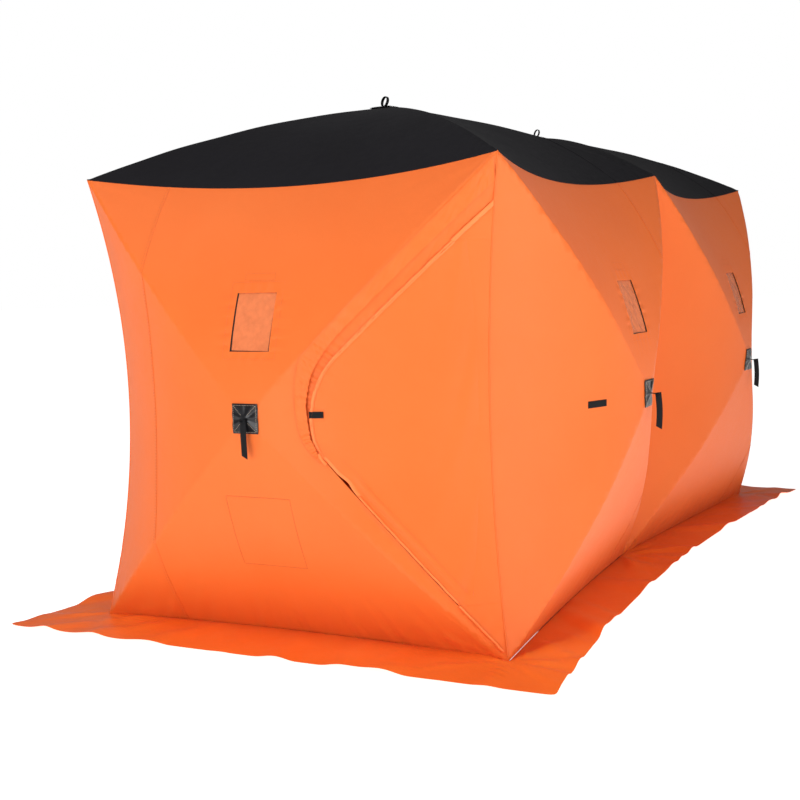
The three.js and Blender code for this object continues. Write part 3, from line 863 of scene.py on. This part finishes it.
def build_studio():
    """Camera, lights and floor."""
    place_camera()
    bpy.context.scene.view_settings.view_transform = "Standard"
    for name, (place, target, size, power) in LIGHTS.items():
        area_light(name, place, target, size, power)
    world = bpy.data.worlds.new("studio")
    world.use_nodes = True
    tree = world.node_tree
    background = tree.nodes["Background"]
    background.inputs["Color"].default_value = (1, 1, 1, 1)
    path = tree.nodes.new("ShaderNodeLightPath")
    strength = tree.nodes.new("ShaderNodeMapRange")
    strength.inputs["To Min"].default_value = AMBIENT
    strength.inputs["To Max"].default_value = 1.0
    tree.links.new(path.outputs["Is Camera Ray"], strength.inputs["Value"])
    tree.links.new(strength.outputs["Result"], background.inputs["Strength"])
    bpy.context.scene.world = world
    far, side, end, level = 40, HALF_WIDTH - 0.05, HALF_LENGTH - 0.05, -0.004
    rims = [
        [(sx * x, sy * y, level) for sx, sy in ((-1, -1), (1, -1), (1, 1), (-1, 1))]
        for x, y in ((far, far), (side, end))
    ]
    around = [(k, (k + 1) % 4, 4 + (k + 1) % 4, 4 + k) for k in range(4)]
    pale, ice = floor_material("pale_floor", 0.85, 0.86), floor_material("ice", 0.5, 0.0)
    make_object("studio_floor_inside", rims[1], [(0, 1, 2, 3)], ice)
    make_object("studio_floor", rims[0] + rims[1], around, pale)


build_studio()

# ------------------------------------------------------------------ laying pieces on a cell


def on_cloth(cell, path, lift):
    """The places in space of flat points, standing lift outside the cloth, and their share t."""
    path = np.array(path, float)
    quarter, u, t = cell.locate(path)
    height = cell.relief(path, quarter, u, t) + lift
    return cell.places(quarter, u, t) + cell.out * height[:, None], t


def lay(name, cell, shape, material, lift=0.0, extra=None, thickness=CLOTH, slot="orange_cloth", bend=None):
    """A thin piece on a cell. It goes with the cell's hub, or as bend says with the door or its strip."""
    points, faces = shape
    place, t = on_cloth(cell, points, lift if extra is None else lift + extra(points))
    thing = solidify(make_object(name, place, faces, material), thickness)
    if bend == "door":
        bend_with_door(thing)
    elif bend == "strip":
        share = (STRIP_ROOT - points[:, 0]) / (STRIP_ROOT - DOOR_HINGE_X)
        follow(thing, "door_seam", smooth(0, 1, share))
    else:
        follow(thing, cell.body, hub_share(t))
    return thing


def band(name, cell, path, width, material, lift, thickness=0.0012, step=0.012, extra=None, **more):
    """A flat tape or felled seam along a flat path."""
    return lay(name, cell, ribbon(path, width, step), material, lift, extra, thickness, **more)


def stitches(name, cell, paths, material, pitch=0.007, length=0.0042, width=0.0011, lift=0.0014, bend=None):
    """Rows of thread stitches along flat paths, each one a small raised bar."""
    starts, ends = [], []
    for path in paths:
        path = resampled(path, 0.002)
        along = distances(path)
        at = np.arange(pitch / 2, along[-1] - length, pitch)
        for k in range(2):
            here = np.stack([np.interp(at + k * length, along, path[:, c]) for c in range(2)], axis=1)
            (starts if k == 0 else ends).append(here)
    starts, ends = np.concatenate(starts), np.concatenate(ends)
    low, share = on_cloth(cell, starts, lift)
    high, _ = on_cloth(cell, ends, lift)
    ahead = high - low
    side = np.cross(ahead, cell.out)
    side *= (width / 2) / np.linalg.norm(side, axis=1)[:, None]
    rise = cell.out * width * 0.6
    corners = [low - side, low + side, high + side, high - side]
    corners += [low - side * 0.6 + ahead * 0.1 + rise, low + side * 0.6 + ahead * 0.1 + rise]
    corners += [high + side * 0.6 - ahead * 0.1 + rise, high - side * 0.6 - ahead * 0.1 + rise]
    points = np.stack(corners, axis=1).reshape(-1, 3)
    cube = [(0, 3, 2, 1), (4, 5, 6, 7), (0, 1, 5, 4), (1, 2, 6, 5), (2, 3, 7, 6), (3, 0, 4, 7)]
    faces = [tuple(8 * k + c for c in face) for k in range(len(low)) for face in cube]
    thing = make_object(name, points, faces, material)
    if bend == "door":
        bend_with_door(thing)
    else:
        follow(thing, cell.body, np.repeat(hub_share(share), 8))
    return thing


# ------------------------------------------------------------------ walls and roof

WALL_NODES = {
    "front": "front_wall", "back": "back_wall",
    "right_1": "right_wall", "right_2": "right_wall",
    "left_1": "left_wall", "left_2": "left_wall",
    "roof_1": "roof", "roof_2": "roof",
}

# The storm flap is sewn down along its outer line and covers the door's upper edge, here in the
# plane of the front wall: outer line, the hem it faces, and how far across it reaches.
FLAP = [
    ((0.888, 1.784), (0.880, 1.632), 0.55),
    ((0.780, 1.669), (0.795, 1.551), 0.55),
    ((0.583, 1.470), (0.618, 1.377), 0.55),
    ((0.350, 1.238), (0.398, 1.161), 0.56),
    ((0.262, 1.148), (0.330, 1.085), 0.62),
    ((0.211, 1.080), (0.283, 1.020), 0.72),
    ((0.193, 0.949), (0.252, 0.935), 0.80),
    ((0.209, 0.823), (0.258, 0.825), 0.82),
    ((0.240, 0.765), (0.272, 0.772), 0.92),
    ((0.280, 0.722), (0.290, 0.735), 1.00),
]
SLIT = (0.352, 0.632)          # middle of the short stretch where the lower zip gapes
ZIP_BAND_END = 0.41            # across: the flat band along the lower zip ends here, and the piping starts
ZIP_KNOT = [(0.277, 0.757), (0.288, 0.733), (0.303, 0.716)]         # gathered cloth at the zips' meeting
HEM_ABOVE_HINGE = [(0.741, 1.497), (0.795, 1.551), (0.880, 1.634)]
WELT_BELOW_HINGE = [(0.742, 0.205), (0.800, 0.137), (0.884, 0.036)]
FRONT = cells["front"]


def spline(points, count=160):
    """A smooth curve through points (Catmull-Rom), as count places."""
    points = np.array(points, float)
    padded = np.vstack([2 * points[0] - points[1], points, 2 * points[-1] - points[-2]])
    at = np.linspace(0, len(points) - 1, count)
    k = np.minimum(at.astype(int), len(points) - 2)
    s = (at - k)[:, None]
    a, b, c, d = padded[k], padded[k + 1], padded[k + 2], padded[k + 3]
    bend = (2 * a - 5 * b + 4 * c - d) * s ** 2 + (3 * b - a - 3 * c + d) * s ** 3
    return 0.5 * (2 * b + (c - a) * s + bend)


flap_line = spline([row[0] for row in FLAP])
hem_line = spline([row[1] for row in FLAP])
flap_reach = spline([(row[2], 0) for row in FLAP])[:, :1]
flap_free = flap_line + (hem_line - flap_line) * flap_reach
recess_loop = np.vstack([flap_line, hem_line[::-1]])


def recess_share(points):
    """0 at the flap's sewn line and outside it, 1 at the hem."""
    to_flap, _ = path_distance(points, flap_line)
    to_hem, _ = path_distance(points, hem_line)
    return np.where(inside(points, recess_loop), to_flap / np.maximum(to_flap + to_hem, 1e-6), 0)


def recess_depth(points):
    """How far the cloth sinks between the flap and the door's zip."""
    return -0.006 * smooth(0.3, 0.75, recess_share(points))


def foot_dip(points):
    """The wall sinks a little beside the lower zip and is drawn into folds towards the corner."""
    line = np.array([DOOR_LOWER, DOOR_FOOT, (0.884, 0.036)])
    away, along = path_distance(points, line)
    beside = np.exp(-away / 0.035) * smooth(0.12, 0.3, along)
    outside = smooth(0.0, 0.004, away)
    folds = 0.0032 * waves(9, along + 0.6 * away, 15, 4) * smooth(0.45, 0.7, along)
    return (-0.006 * beside + folds * beside) * outside


def gathers(points):
    """Folds across the band that the zip draws together."""
    _, along = path_distance(points, hem_line)
    return 0.0024 * waves(5, along, 26, 4) + 0.0012 * waves(6, along, 60, 2)


def window_puckers(cell):
    """Small folds that the stitched border of a window draws into the cloth around it."""
    loop = window_loop(cell)
    rim = closed(loop)
    middle = loop.mean(axis=0)
    seed = len(cell.name) * 13

    def extra(points):
        away, along = path_distance(points, rim)
        near = smooth(0.0, 0.014, away) * np.exp(-np.maximum(away - 0.014, 0) / 0.026)
        beside = smooth(0.0, 0.02, np.abs(points[:, 0] - middle[0]) - WINDOW["width"] / 2)
        return (0.002 + 0.0022 * beside) * near * waves(seed, along, 28, 4)

    return extra


def build_wall(name):
    """The cloth of one cell, with the holes that the door and the windows need."""
    cell = cells[name]
    roof = name.startswith("roof")
    loops, dense, extra = [cell.outline()], [], None
    step = FINE if name == "front" else COARSE
    if not roof:
        hole = window_loop(cell)
        loops.append(hole)
        dense.append((closed(hole), 0.075, 0.009))
        extra = window_puckers(cell)
    if name == "front":
        loops += [door_outline(), strip_outline(cell)]
        dense.append((hem_line, 0.12, 0.010))
        puckers = extra

        def extra(points):
            return puckers(points) + recess_depth(points) + foot_dip(points)

    for corner in cell.corners:
        here = cell.flat(corner)
        dense.append((np.vstack([here, here + 1e-4]), 0.24, 0.014))
    shape = triangulate(loops, cell.ridge_lines(), step, dense)
    thing = lay(
        "cloth_" + name, cell, shape, BLACK if roof else ORANGE, extra=extra,
        slot="black_cloth" if roof else "orange_cloth",
    )
    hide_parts(WALL_NODES[name])


for name in cells:
    build_wall(name)

# ------------------------------------------------------------------ door, hinge strip and storm flap


INWARD = np.array([0.77, 0.64])      # from the lower zip into the door
SLIT_GAPE = 0.011


def slit_door_edge():
    """The door's free edge, drawn in a little where the lower zip gapes."""
    edge = resampled(door_edge(DOOR_GAP), 0.008)
    away = np.linalg.norm(edge - np.array(SLIT), axis=1)
    pull = SLIT_GAPE * np.exp(-(away / 0.032) ** 2)
    return edge + pull[:, None] * INWARD


DOOR_RIM = slit_door_edge()


def door_slack(points):
    """Loose folds beside the hinge, a waved rim, and a fold with its groove along the lower zip."""
    away, along = path_distance(points, DOOR_RIM)
    hinge = np.maximum(DOOR_HINGE_X - points[:, 0], 0)
    folds = 0.0045 * waves(31, points[:, 1] * 0.35 + hinge * 1.5, 5, 4) * np.exp(-hinge / 0.09)
    folds *= smooth(0, 0.02, hinge)
    rim = 0.0016 * waves(32, along, 16, 4) * np.exp(-away / 0.03) * smooth(0, 0.03, hinge)
    low = smooth(0.70, 0.60, points[:, 1]) * smooth(0.20, 0.30, points[:, 1])
    groove = -0.0075 * np.exp(-((away - 0.019) / 0.008) ** 2) * low
    fold = 0.0035 * smooth(0.052, 0.040, away) * smooth(0.0, 0.02, away) * low
    return folds + rim + groove + fold


def build_door():
    """The door's cloth and the tab that it is pulled by."""
    loop = np.vstack([DOOR_RIM[:-1], resampled([DOOR_RIM[-1], DOOR_RIM[0]], 0.012)[:-1]])
    shape = triangulate([loop], [], FINE, [(DOOR_RIM, 0.05, 0.009)])
    door = lay("cloth_door", FRONT, shape, ORANGE, extra=door_slack, bend="door")
    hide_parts("door_panel")
    tab = lay(
        "door_pull_tab", FRONT, triangulate([rectangle(*DOOR_TAB, 0.004)], [], 0.005),
        WEBBING, 0.0052, thickness=0.0018, slot="webbing", bend="door",
    )
    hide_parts("door_tab")


def build_strip():
    """The cloth between the hinge line and the corner seam, and the tape that the door hangs on."""
    shape = triangulate([strip_outline(FRONT)], [], FINE)
    strip = lay("cloth_door_strip", FRONT, shape, ORANGE, bend="strip")
    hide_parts("front_wall")
    line = [(HINGE_TAPE["x"], HINGE_TAPE["foot"]), (HINGE_TAPE["x"], HINGE_TAPE["top"])]
    tape = lay(
        "hinge_tape", FRONT, ribbon(line, HINGE_TAPE["width"], 0.012), ORANGE, -0.007, thickness=0.0012,
    )
    tape.data.attributes.remove(tape.data.attributes["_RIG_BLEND"])
    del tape["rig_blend"]
    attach(tape, "door_seam")
    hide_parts("door_hinge_tape")


def build_door_trim():
    """Hem and piping along the door's zips, the knot at its nose, and the rows of stitches."""
    up = DOOR_RIM[:, 1]
    free = DOOR_RIM[
        (up < DOOR_TOP[1] - 0.004) & (up > DOOR_FOOT[1] + 0.004) & (DOOR_RIM[:, 0] < DOOR_HINGE_X - 0.01)
    ]
    nose = int(np.argmin(np.hypot(*(free - DOOR_LOWER).T)))
    upper, lower = free[: nose + 1], free[nose:]
    gape = lower[lower[:, 0] < ZIP_BAND_END]
    band("door_hem", FRONT, upper, 0.012, HEM, 0.0026, 0.0016, 0.008, extra=door_slack, bend="door")
    band(
        "zip_band", FRONT, gape + 0.0065 * INWARD, 0.013, HEM, 0.0016, 0.001, 0.008,
        extra=door_slack, bend="door",
    )
    welt = lower[len(gape) - 1:] + 0.004 * INWARD
    places, _ = on_cloth(FRONT, welt, 0.003 + door_slack(welt))
    bend_with_door(tube("door_welt", places, PIPING, HEM, 10))
    gathered, _ = on_cloth(FRONT, resampled(ZIP_KNOT, 0.005), 0.005)
    bend_with_door(tube("zip_gather", gathered, 0.0062, HEM, 10))
    rows = [upper + np.array([0.0035, 0.0]), lower[6:] + 0.047 * INWARD]
    stitches("door_hem_stitches", FRONT, rows, THREAD_ORANGE, bend="door", lift=0.0045, pitch=0.0065)


FLAP_ROWS = 9
FLAP_FACES = grid_faces(FLAP_ROWS, len(flap_line))[:, ::-1]


def rows_between(start, end, shares):
    """Points in rows from one line to another."""
    return np.concatenate([start + (end - start) * share for share in shares])


def build_flap():
    """The flap of cloth beside the door, from where it is sewn on to its hem."""
    count = len(flap_line)
    shares = np.linspace(0, 1, FLAP_ROWS)
    share = np.repeat(shares, count)
    along = np.tile(np.arange(count) * 0.0115, FLAP_ROWS)

    def wrinkles(_):
        fine = 0.0025 * waves(41, along + 0.03 * share, 17, 5)
        slow = 0.0022 * waves(42, along, 4, 3)
        return 0.0012 + 0.006 * share + (fine + slow) * smooth(0, 0.35, share)

    shape = (rows_between(flap_line, flap_free, shares), FLAP_FACES)
    flap = lay("storm_flap_cloth", FRONT, shape, ORANGE, 0.001, wrinkles)
    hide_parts("storm_flap")
    stitches("flap_stitches", FRONT, [flap_line + np.array([0.003, -0.003])], THREAD_ORANGE, lift=0.0052)


def build_zip_recess():
    """The gathered cloth that shows between the flap's free edge and the door, in a darker orange that is
    painted shade.
    """
    shape = (rows_between(flap_free, hem_line, np.linspace(-0.25, 1.12, FLAP_ROWS)), FLAP_FACES)
    recess = lay("zip_recess", FRONT, shape, RECESS_PAINTED_SHADE, 0.0015, lambda p: recess_depth(p) + gathers(p))


def build_hinge_trim():
    """The hem above the hinge line and the piping below it, out to the corners."""
    band("hem_above_hinge", FRONT, np.array(HEM_ABOVE_HINGE), 0.013, HEM, 0.003, 0.0016, 0.01)
    places, share = on_cloth(FRONT, resampled(WELT_BELOW_HINGE, 0.008), 0.003)
    welt = tube("welt_below_hinge", places, PIPING, HEM, 10)
    follow(welt, FRONT.body, np.repeat(hub_share(share), 10))


build_door()
build_strip()
build_door_trim()
build_flap()
build_zip_recess()
build_hinge_trim()

# ------------------------------------------------------------------ windows


def slanted_loop(x, z, left, right_top, right_foot, top, foot):
    """The visible inner edge of a window's hook tape: each side shows a little, and not evenly."""
    w, h = WINDOW["width"] / 2, WINDOW["height"] / 2
    return closed_loop([
        (x - w + left, z - h + foot),
        (x + w - right_foot, z - h + 0.001),
        (x + w - right_top, z + h - top),
        (x - w + left * 0.7, z + h - top),
    ], SMALL)


def build_window(name):
    """A window: its pane, the hook tape that holds it, and the stitches round them."""
    cell = cells[name]
    x = float(cell.flat(cell.hub)[0][0])
    z = WINDOW["z"]
    w, h = WINDOW["width"] + 2 * PANE_LAP, WINDOW["height"] + 2 * PANE_LAP
    seed = sum(ord(letter) for letter in name)

    def wrinkled(points):
        rim = np.minimum(w / 2 - np.abs(points[:, 0] - x), h / 2 - np.abs(points[:, 1] - z))
        loose = ripples(seed, points, 15, 9)
        creased = ripples(seed + 1, points, 34, 9)
        return (0.002 * loose + 0.0011 * creased) * smooth(0.01, 0.04, rim)

    pane = lay(
        "pane_" + name, cell, triangulate([rectangle(x, z, w, h)], [], 0.006),
        FILM_PAINTED_GLOW, -0.0045, wrinkled, 0.0004, "clear_vinyl",
    )
    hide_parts("window_" + name)
    inner = slanted_loop(x, z, HOOK_SHOWS, 0.001, HOOK_SHOWS * 1.1, -0.004, HOOK_SHOWS * 0.8)
    outer = rectangle(x, z, WINDOW["width"] + 2 * HOOK_TAPE, WINDOW["height"] + 2 * HOOK_TAPE)
    lay(
        "hook_tape_" + name, cell, triangulate([outer, inner], [], 0.008),
        HOOK, -0.0034, window_puckers(cell), 0.0012, "webbing",
    )
    rows = [
        closed(rectangle(x, z + line["above"], line["width"], line["height"]))
        for line in (WINDOW_HEM, WINDOW_LABEL)
    ]
    stitches("window_stitches_" + name, cell, rows, THREAD_ORANGE, lift=0.0006, width=0.0013)


for name in cells:
    if not name.startswith("roof"):
        build_window(name)

# ------------------------------------------------------------------ seams


# Where each cell's seam lies: across it on the walls, up it on the roof
WALL_SEAMS = {
    "front": -0.53, "back": 0.53, "right_1": -0.375, "right_2": 1.448,
    "left_1": 0.375, "left_2": -1.448,
}
ROOF_SEAMS = {"roof_1": -0.375, "roof_2": 1.448}

# Rolled seams where two cells meet: cell, quarter and cloth
SHARED_EDGES = {
    "corner_front_right": ("front", 1, ORANGE),
    "corner_front_left": ("front", 3, ORANGE),
    "corner_back_right": ("back", 3, ORANGE),
    "corner_back_left": ("back", 1, ORANGE),
    "middle_right": ("right_1", 1, ORANGE),
    "middle_left": ("left_1", 3, ORANGE),
    "middle_roof": ("roof_1", 0, BLACK),
}


def seam_curve(cell, axis, at):
    """A straight seam from edge to edge of a cell, where its place on the axis, 0 or 1, is at."""
    rim = closed(cell.outline())
    other = 1 - axis
    crossings = []
    for start, end in zip(rim[:-1], rim[1:]):
        if (start[axis] - at) * (end[axis] - at) < 0:
            share = (at - start[axis]) / (end[axis] - start[axis])
            crossings.append(start[other] + (end[other] - start[other]) * share)
    path = np.full((120, 2), float(at))
    path[:, other] = np.linspace(min(crossings) + 0.002, max(crossings) - 0.002, 120)
    return path


def build_seams():
    """A seam across each wall, with its stitches, and across each half of the roof."""
    for name, x in WALL_SEAMS.items():
        path = seam_curve(cells[name], 0, x)
        band("seam_" + name, cells[name], path, SEAM_WIDTH, ORANGE, 0.0011, 0.0009, 0.016)
        rows = [path + np.array([dx, 0]) for dx in (-0.0042, 0.0042)]
        stitches("seam_stitches_" + name, cells[name], rows, THREAD_ORANGE,
                 pitch=0.012, length=0.007, lift=0.002)
    for name, y in ROOF_SEAMS.items():
        path = seam_curve(cells[name], 1, y)
        band(
            "seam_" + name, cells[name], path, SEAM_WIDTH, BLACK, 0.0011, 0.0009, 0.016,
            slot="black_cloth",
        )


def build_edge_bindings():
    """Rolled seams along the edges of the cells. They lie on the shell's own corners."""
    eaves = {"eaves_" + name: (name, 0, BLACK) for name in WALL_SEAMS}
    for name, (cell_name, quarter, material) in (eaves | SHARED_EDGES).items():
        path = cells[cell_name].edge(quarter)
        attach(tube("binding_" + name, path, 0.0026, material, 8), "shell")


build_seams()
build_edge_bindings()

# ------------------------------------------------------------------ pocket and tie-back


def build_small_cloth():
    """The pocket behind the front wall and the tieback patch on the right one."""
    outline = rectangle(*POCKET, 0.02)
    pocket = lay(
        "pocket_cloth", FRONT, triangulate([outline], [], 0.02), ORANGE, -0.003,
        thickness=0.0012,
    )
    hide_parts("inner_pocket")
    stitches(
        "pocket_stitches", FRONT, [closed(outline)], THREAD_DARK,
        pitch=0.006, length=0.0045, width=0.0018, lift=0.0004,
    )
    cell = cells["right_1"]
    patch = lay(
        "tieback_cloth", cell, triangulate([rectangle(*TIEBACK, 0.006)], [], 0.008),
        WEBBING, 0.002, thickness=0.0016, slot="webbing",
    )
    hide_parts("tieback_patch")


build_small_cloth()

# ------------------------------------------------------------------ hub patches, straps and loops


def patch_creases(cell, hub):
    """Creases that run out from a hub across its patch."""
    seed = sum(ord(letter) for letter in cell.name) + 3

    def extra(points):
        away = points - hub
        reach = np.linalg.norm(away, axis=1)
        angle = np.arctan2(away[:, 1], away[:, 0]) / (2 * math.pi)
        radial = waves(seed, angle, 6, 5)
        radial *= smooth(0.004, 0.03, reach)
        pleat = 1 - smooth(0.0, 0.02, np.minimum(angle + 0.5, 0.5 - angle))
        return 0.0019 * radial * (1 - pleat) + 0.0014 * smooth(0.03, 0.0, reach)

    return extra


# Cross-section of webbing, as shares of half its width and half its thickness
WEBBING_SECTION = ((-1, 0.3), (-0.8, 1), (0.8, 1), (1, 0.3), (1, -0.3), (0.8, -1), (-0.8, -1), (-1, -0.3))


def flat_strap(name, body, path, width, thickness, side, cut=0.0):
    """Webbing along a path in space: side is the direction of its width, cut slants its last edge."""
    path = resampled(path, 0.006)
    side = np.array(side, float)
    points = []
    for k, here in enumerate(path):
        ahead = path[min(k + 1, len(path) - 1)] - path[max(k - 1, 0)]
        ahead /= np.linalg.norm(ahead)
        wide = side - ahead * side.dot(ahead)
        wide /= np.linalg.norm(wide)
        out = np.cross(ahead, wide)
        slant = cut * max(0, 1 - (len(path) - 1 - k) / 4)
        for across, edge in WEBBING_SECTION:
            shift = wide * across * width / 2 + out * thickness / 2 * edge
            points.append(here + shift + ahead * slant * across)
    faces = [face[::-1] for face in ring_faces(len(path), len(WEBBING_SECTION))]
    strap = make_object(name, points, faces, WEBBING)
    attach(strap, body)


def build_hub_patch(name):
    """The stitched square over a hub, gathered round its pin."""
    cell = cells[name]
    hub = cell.flat(cell.hub)[0]
    roof = name.startswith("roof")
    side = PATCH * (0.9 if roof else 1.0)
    outline = rectangle(hub[0], hub[1], side, side, 0.005)
    ridges = [line[inside(line, outline)] for line in cell.ridge_lines(0.006)]
    shape = triangulate([outline], [line for line in ridges if len(line)], 0.006)
    lay(
        "patch_" + name, cell, shape, BLACK if roof else VINYL, 0.0045, patch_creases(cell, hub), 0.001,
        "webbing",
    )
    inner = side / 2 - 0.006
    rows = [closed(rectangle(hub[0], hub[1], 2 * inner, 2 * inner, 0.004))]
    for turn in (1, -1):
        for start, end in ((-inner, -0.012), (0.012, inner)):
            rows.append(hub + np.array([(start, turn * start), (end, turn * end)]))
    stitches("patch_stitches_" + name, cell, rows, BLACK if roof else THREAD, lift=0.0062, width=0.0014)


def build_pull_loop(name):
    """The webbing loop that stands on a roof hub."""
    cell = cells[name]
    loop = [
        cell.hub + cell.out * (0.024 + 0.021 * math.sin(a))
        + cell.across * (0.013 * math.cos(a) + 0.006 * math.sin(a))
        for a in np.linspace(-0.5 * math.pi, 1.5 * math.pi, 28)
    ]
    side = np.cross(cell.out, cell.across)
    flat_strap("pull_loop_" + name, cell.body, loop, LOOP_STRAP["width"], LOOP_STRAP["thickness"], side)


def build_pull_strap(name):
    """The webbing strap of a wall hub, knotted on a short cord."""
    cell = cells[name]
    out, along, down = cell.out, cell.across, np.array([0.0, 0.0, -1.0])
    reach = FRONT_CORD if name == "front" else OTHER_CORD
    start = cell.hub + out * 0.004
    top = start + out * reach
    cord = [start, start + out * reach * 0.4 + down * 0.001, start + out * reach * 0.8 + down * 0.004,
            top + down * 0.010]
    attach(tube("pull_cord_" + name, resampled(cord, 0.004), 0.0021, WEBBING, 8), cell.body)
    path = [
        top + down * STRAP["length"] * s + out * 0.004 * math.sin(3 * s) + along * 0.004 * math.sin(2.2 * s)
        for s in np.linspace(-0.02, 1, 16)
    ]
    side = along if name == "front" else out * 0.85 + along * 0.5
    flat_strap(
        "pull_strap_" + name, cell.body, path, STRAP["width"], STRAP["thickness"], side, cut=0.006,
    )
    knot = [
        top + along * 0.011 * math.cos(a) + down * (0.006 + 0.006 * math.sin(a)) + out * 0.0035
        for a in np.linspace(0, 2 * math.pi, 18)
    ]
    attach(tube("pull_knot_" + name, knot, 0.0024, WEBBING, 8), cell.body)


for name in cells:
    build_hub_patch(name)
    if name.startswith("roof"):
        build_pull_loop(name)
    else:
        build_pull_strap(name)

# ------------------------------------------------------------------ snow skirt


def skirt_rims():
    """The inner edge of the skirt, under the walls, and its outer edge, point against point."""
    half_x = HALF_WIDTH + SKIRT_WIDTH
    half_y = HALF_LENGTH + SKIRT_WIDTH
    waist = half_x - SKIRT_WAIST
    bend = half_x - SKIRT_WAIST * 2 / 3
    side_outer = np.vstack([
        bezier((half_x, -half_y), (bend, -half_y * 2 / 3), (waist, -half_y / 3), (waist, 0), 72),
        bezier((waist, 0), (waist, half_y / 3), (bend, half_y * 2 / 3), (half_x, half_y), 72)[1:],
    ])
    end_inner = FRONT.edge(2)[::-1][:, :2]
    end_outer = np.array([(-half_x, -half_y), (half_x, -half_y)])
    side_inner = np.vstack([
        cells["right_1"].edge(2)[::-1][:, :2], cells["right_2"].edge(2)[::-1][1:, :2],
    ])
    inner, outer = [], []
    for sign in (1, -1):
        for near, far, step in zip((end_inner, side_inner), (end_outer, side_outer), SKIRT_STEPS):
            near = resampled(near, step)
            far = resampled(far, distances(far)[-1] / (len(near) - 1))
            inner.append(sign * near[:-1])
            outer.append(sign * far[:-1])
    return np.concatenate(inner), np.concatenate(outer)


def ruffles(outer, shares):
    """Waves that run out across the skirt, one row for each share of the way from the wall."""
    around = distances(outer)
    phase = around / (around[-1] + np.linalg.norm(outer[0] - outer[-1]))
    rows = []
    for share in shares:
        skew = phase + 0.006 * share * np.sin(2 * math.pi * phase * 9)
        fold = np.zeros_like(phase)
        rng = np.random.default_rng(77)
        for _ in range(26):
            rate = int(rng.integers(7, 60))
            fold += np.sin(2 * math.pi * (rate * skew + rng.random())) / (1 + rate / 26)
        rows.append(RUFFLE * (0.25 + 0.75 * share) * np.maximum(fold, -0.6) * smooth(0, 0.06, share))
    return np.array(rows)


def foot_rays(flat):
    """Folds that run out from each corner and middle foot."""
    feet = [(sx * HALF_WIDTH, sy * HALF_LENGTH) for sx in (-1, 1) for sy in (-1, 1)]
    feet += [(HALF_WIDTH - MID_FOOT_IN, 0), (-HALF_WIDTH + MID_FOOT_IN, 0)]
    rng = np.random.default_rng(12)
    height = np.zeros(flat.shape[:2])
    for foot in feet:
        away = flat - np.array(foot)
        reach = np.linalg.norm(away, axis=2)
        angle = np.arctan2(away[..., 1], away[..., 0]) / (2 * math.pi)
        rays = np.zeros_like(angle)
        for rate in (7, 11, 17, 23):
            rays += np.sin(2 * math.pi * (rate * angle + rng.random())) / (rate / 9)
        height += RAY * rays * smooth(0.01, 0.1, reach) * np.exp(-reach / 0.22)
    return height


def build_skirt():
    """The skirt that lies on the ice all round."""
    inner, outer = skirt_rims()
    shares = np.linspace(0, 1, SKIRT_ROWS) ** 0.9
    flat = np.stack([inner + (outer - inner) * share for share in shares])
    fine = 0.0006 * ripples(3, flat.reshape(-1, 2), 9).reshape(flat.shape[:2])
    z = 0.0032 + np.maximum(ruffles(outer, shares) + foot_rays(flat), -0.0022) + fine
    z = np.maximum(z, 0.0012)
    points = np.concatenate([flat, z[..., None]], axis=2).reshape(-1, 3)
    faces = ring_faces(SKIRT_ROWS, len(inner), capped=False)
    skirt = solidify(make_object("skirt_cloth", points, faces, SKIRT), 0.0009)
    smoother = skirt.modifiers.new("smooth", "SUBSURF")
    smoother.levels = smoother.render_levels = 1
    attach(skirt, "shell")
    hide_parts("skirt")


build_skirt()

# ------------------------------------------------------------------ CAD nodes that stay

KEPT = {"hub_": HUB_PLASTIC, "pole_": POLE, "zip_": ZINC}
for subpart in frame["record"]["subparts"]:
    thing = bpy.data.objects.get(subpart["node"])
    for prefix, material in KEPT.items():
        if thing is not None and subpart["node"].startswith(prefix):
            thing.data.materials.clear()
            thing.data.materials.append(material)
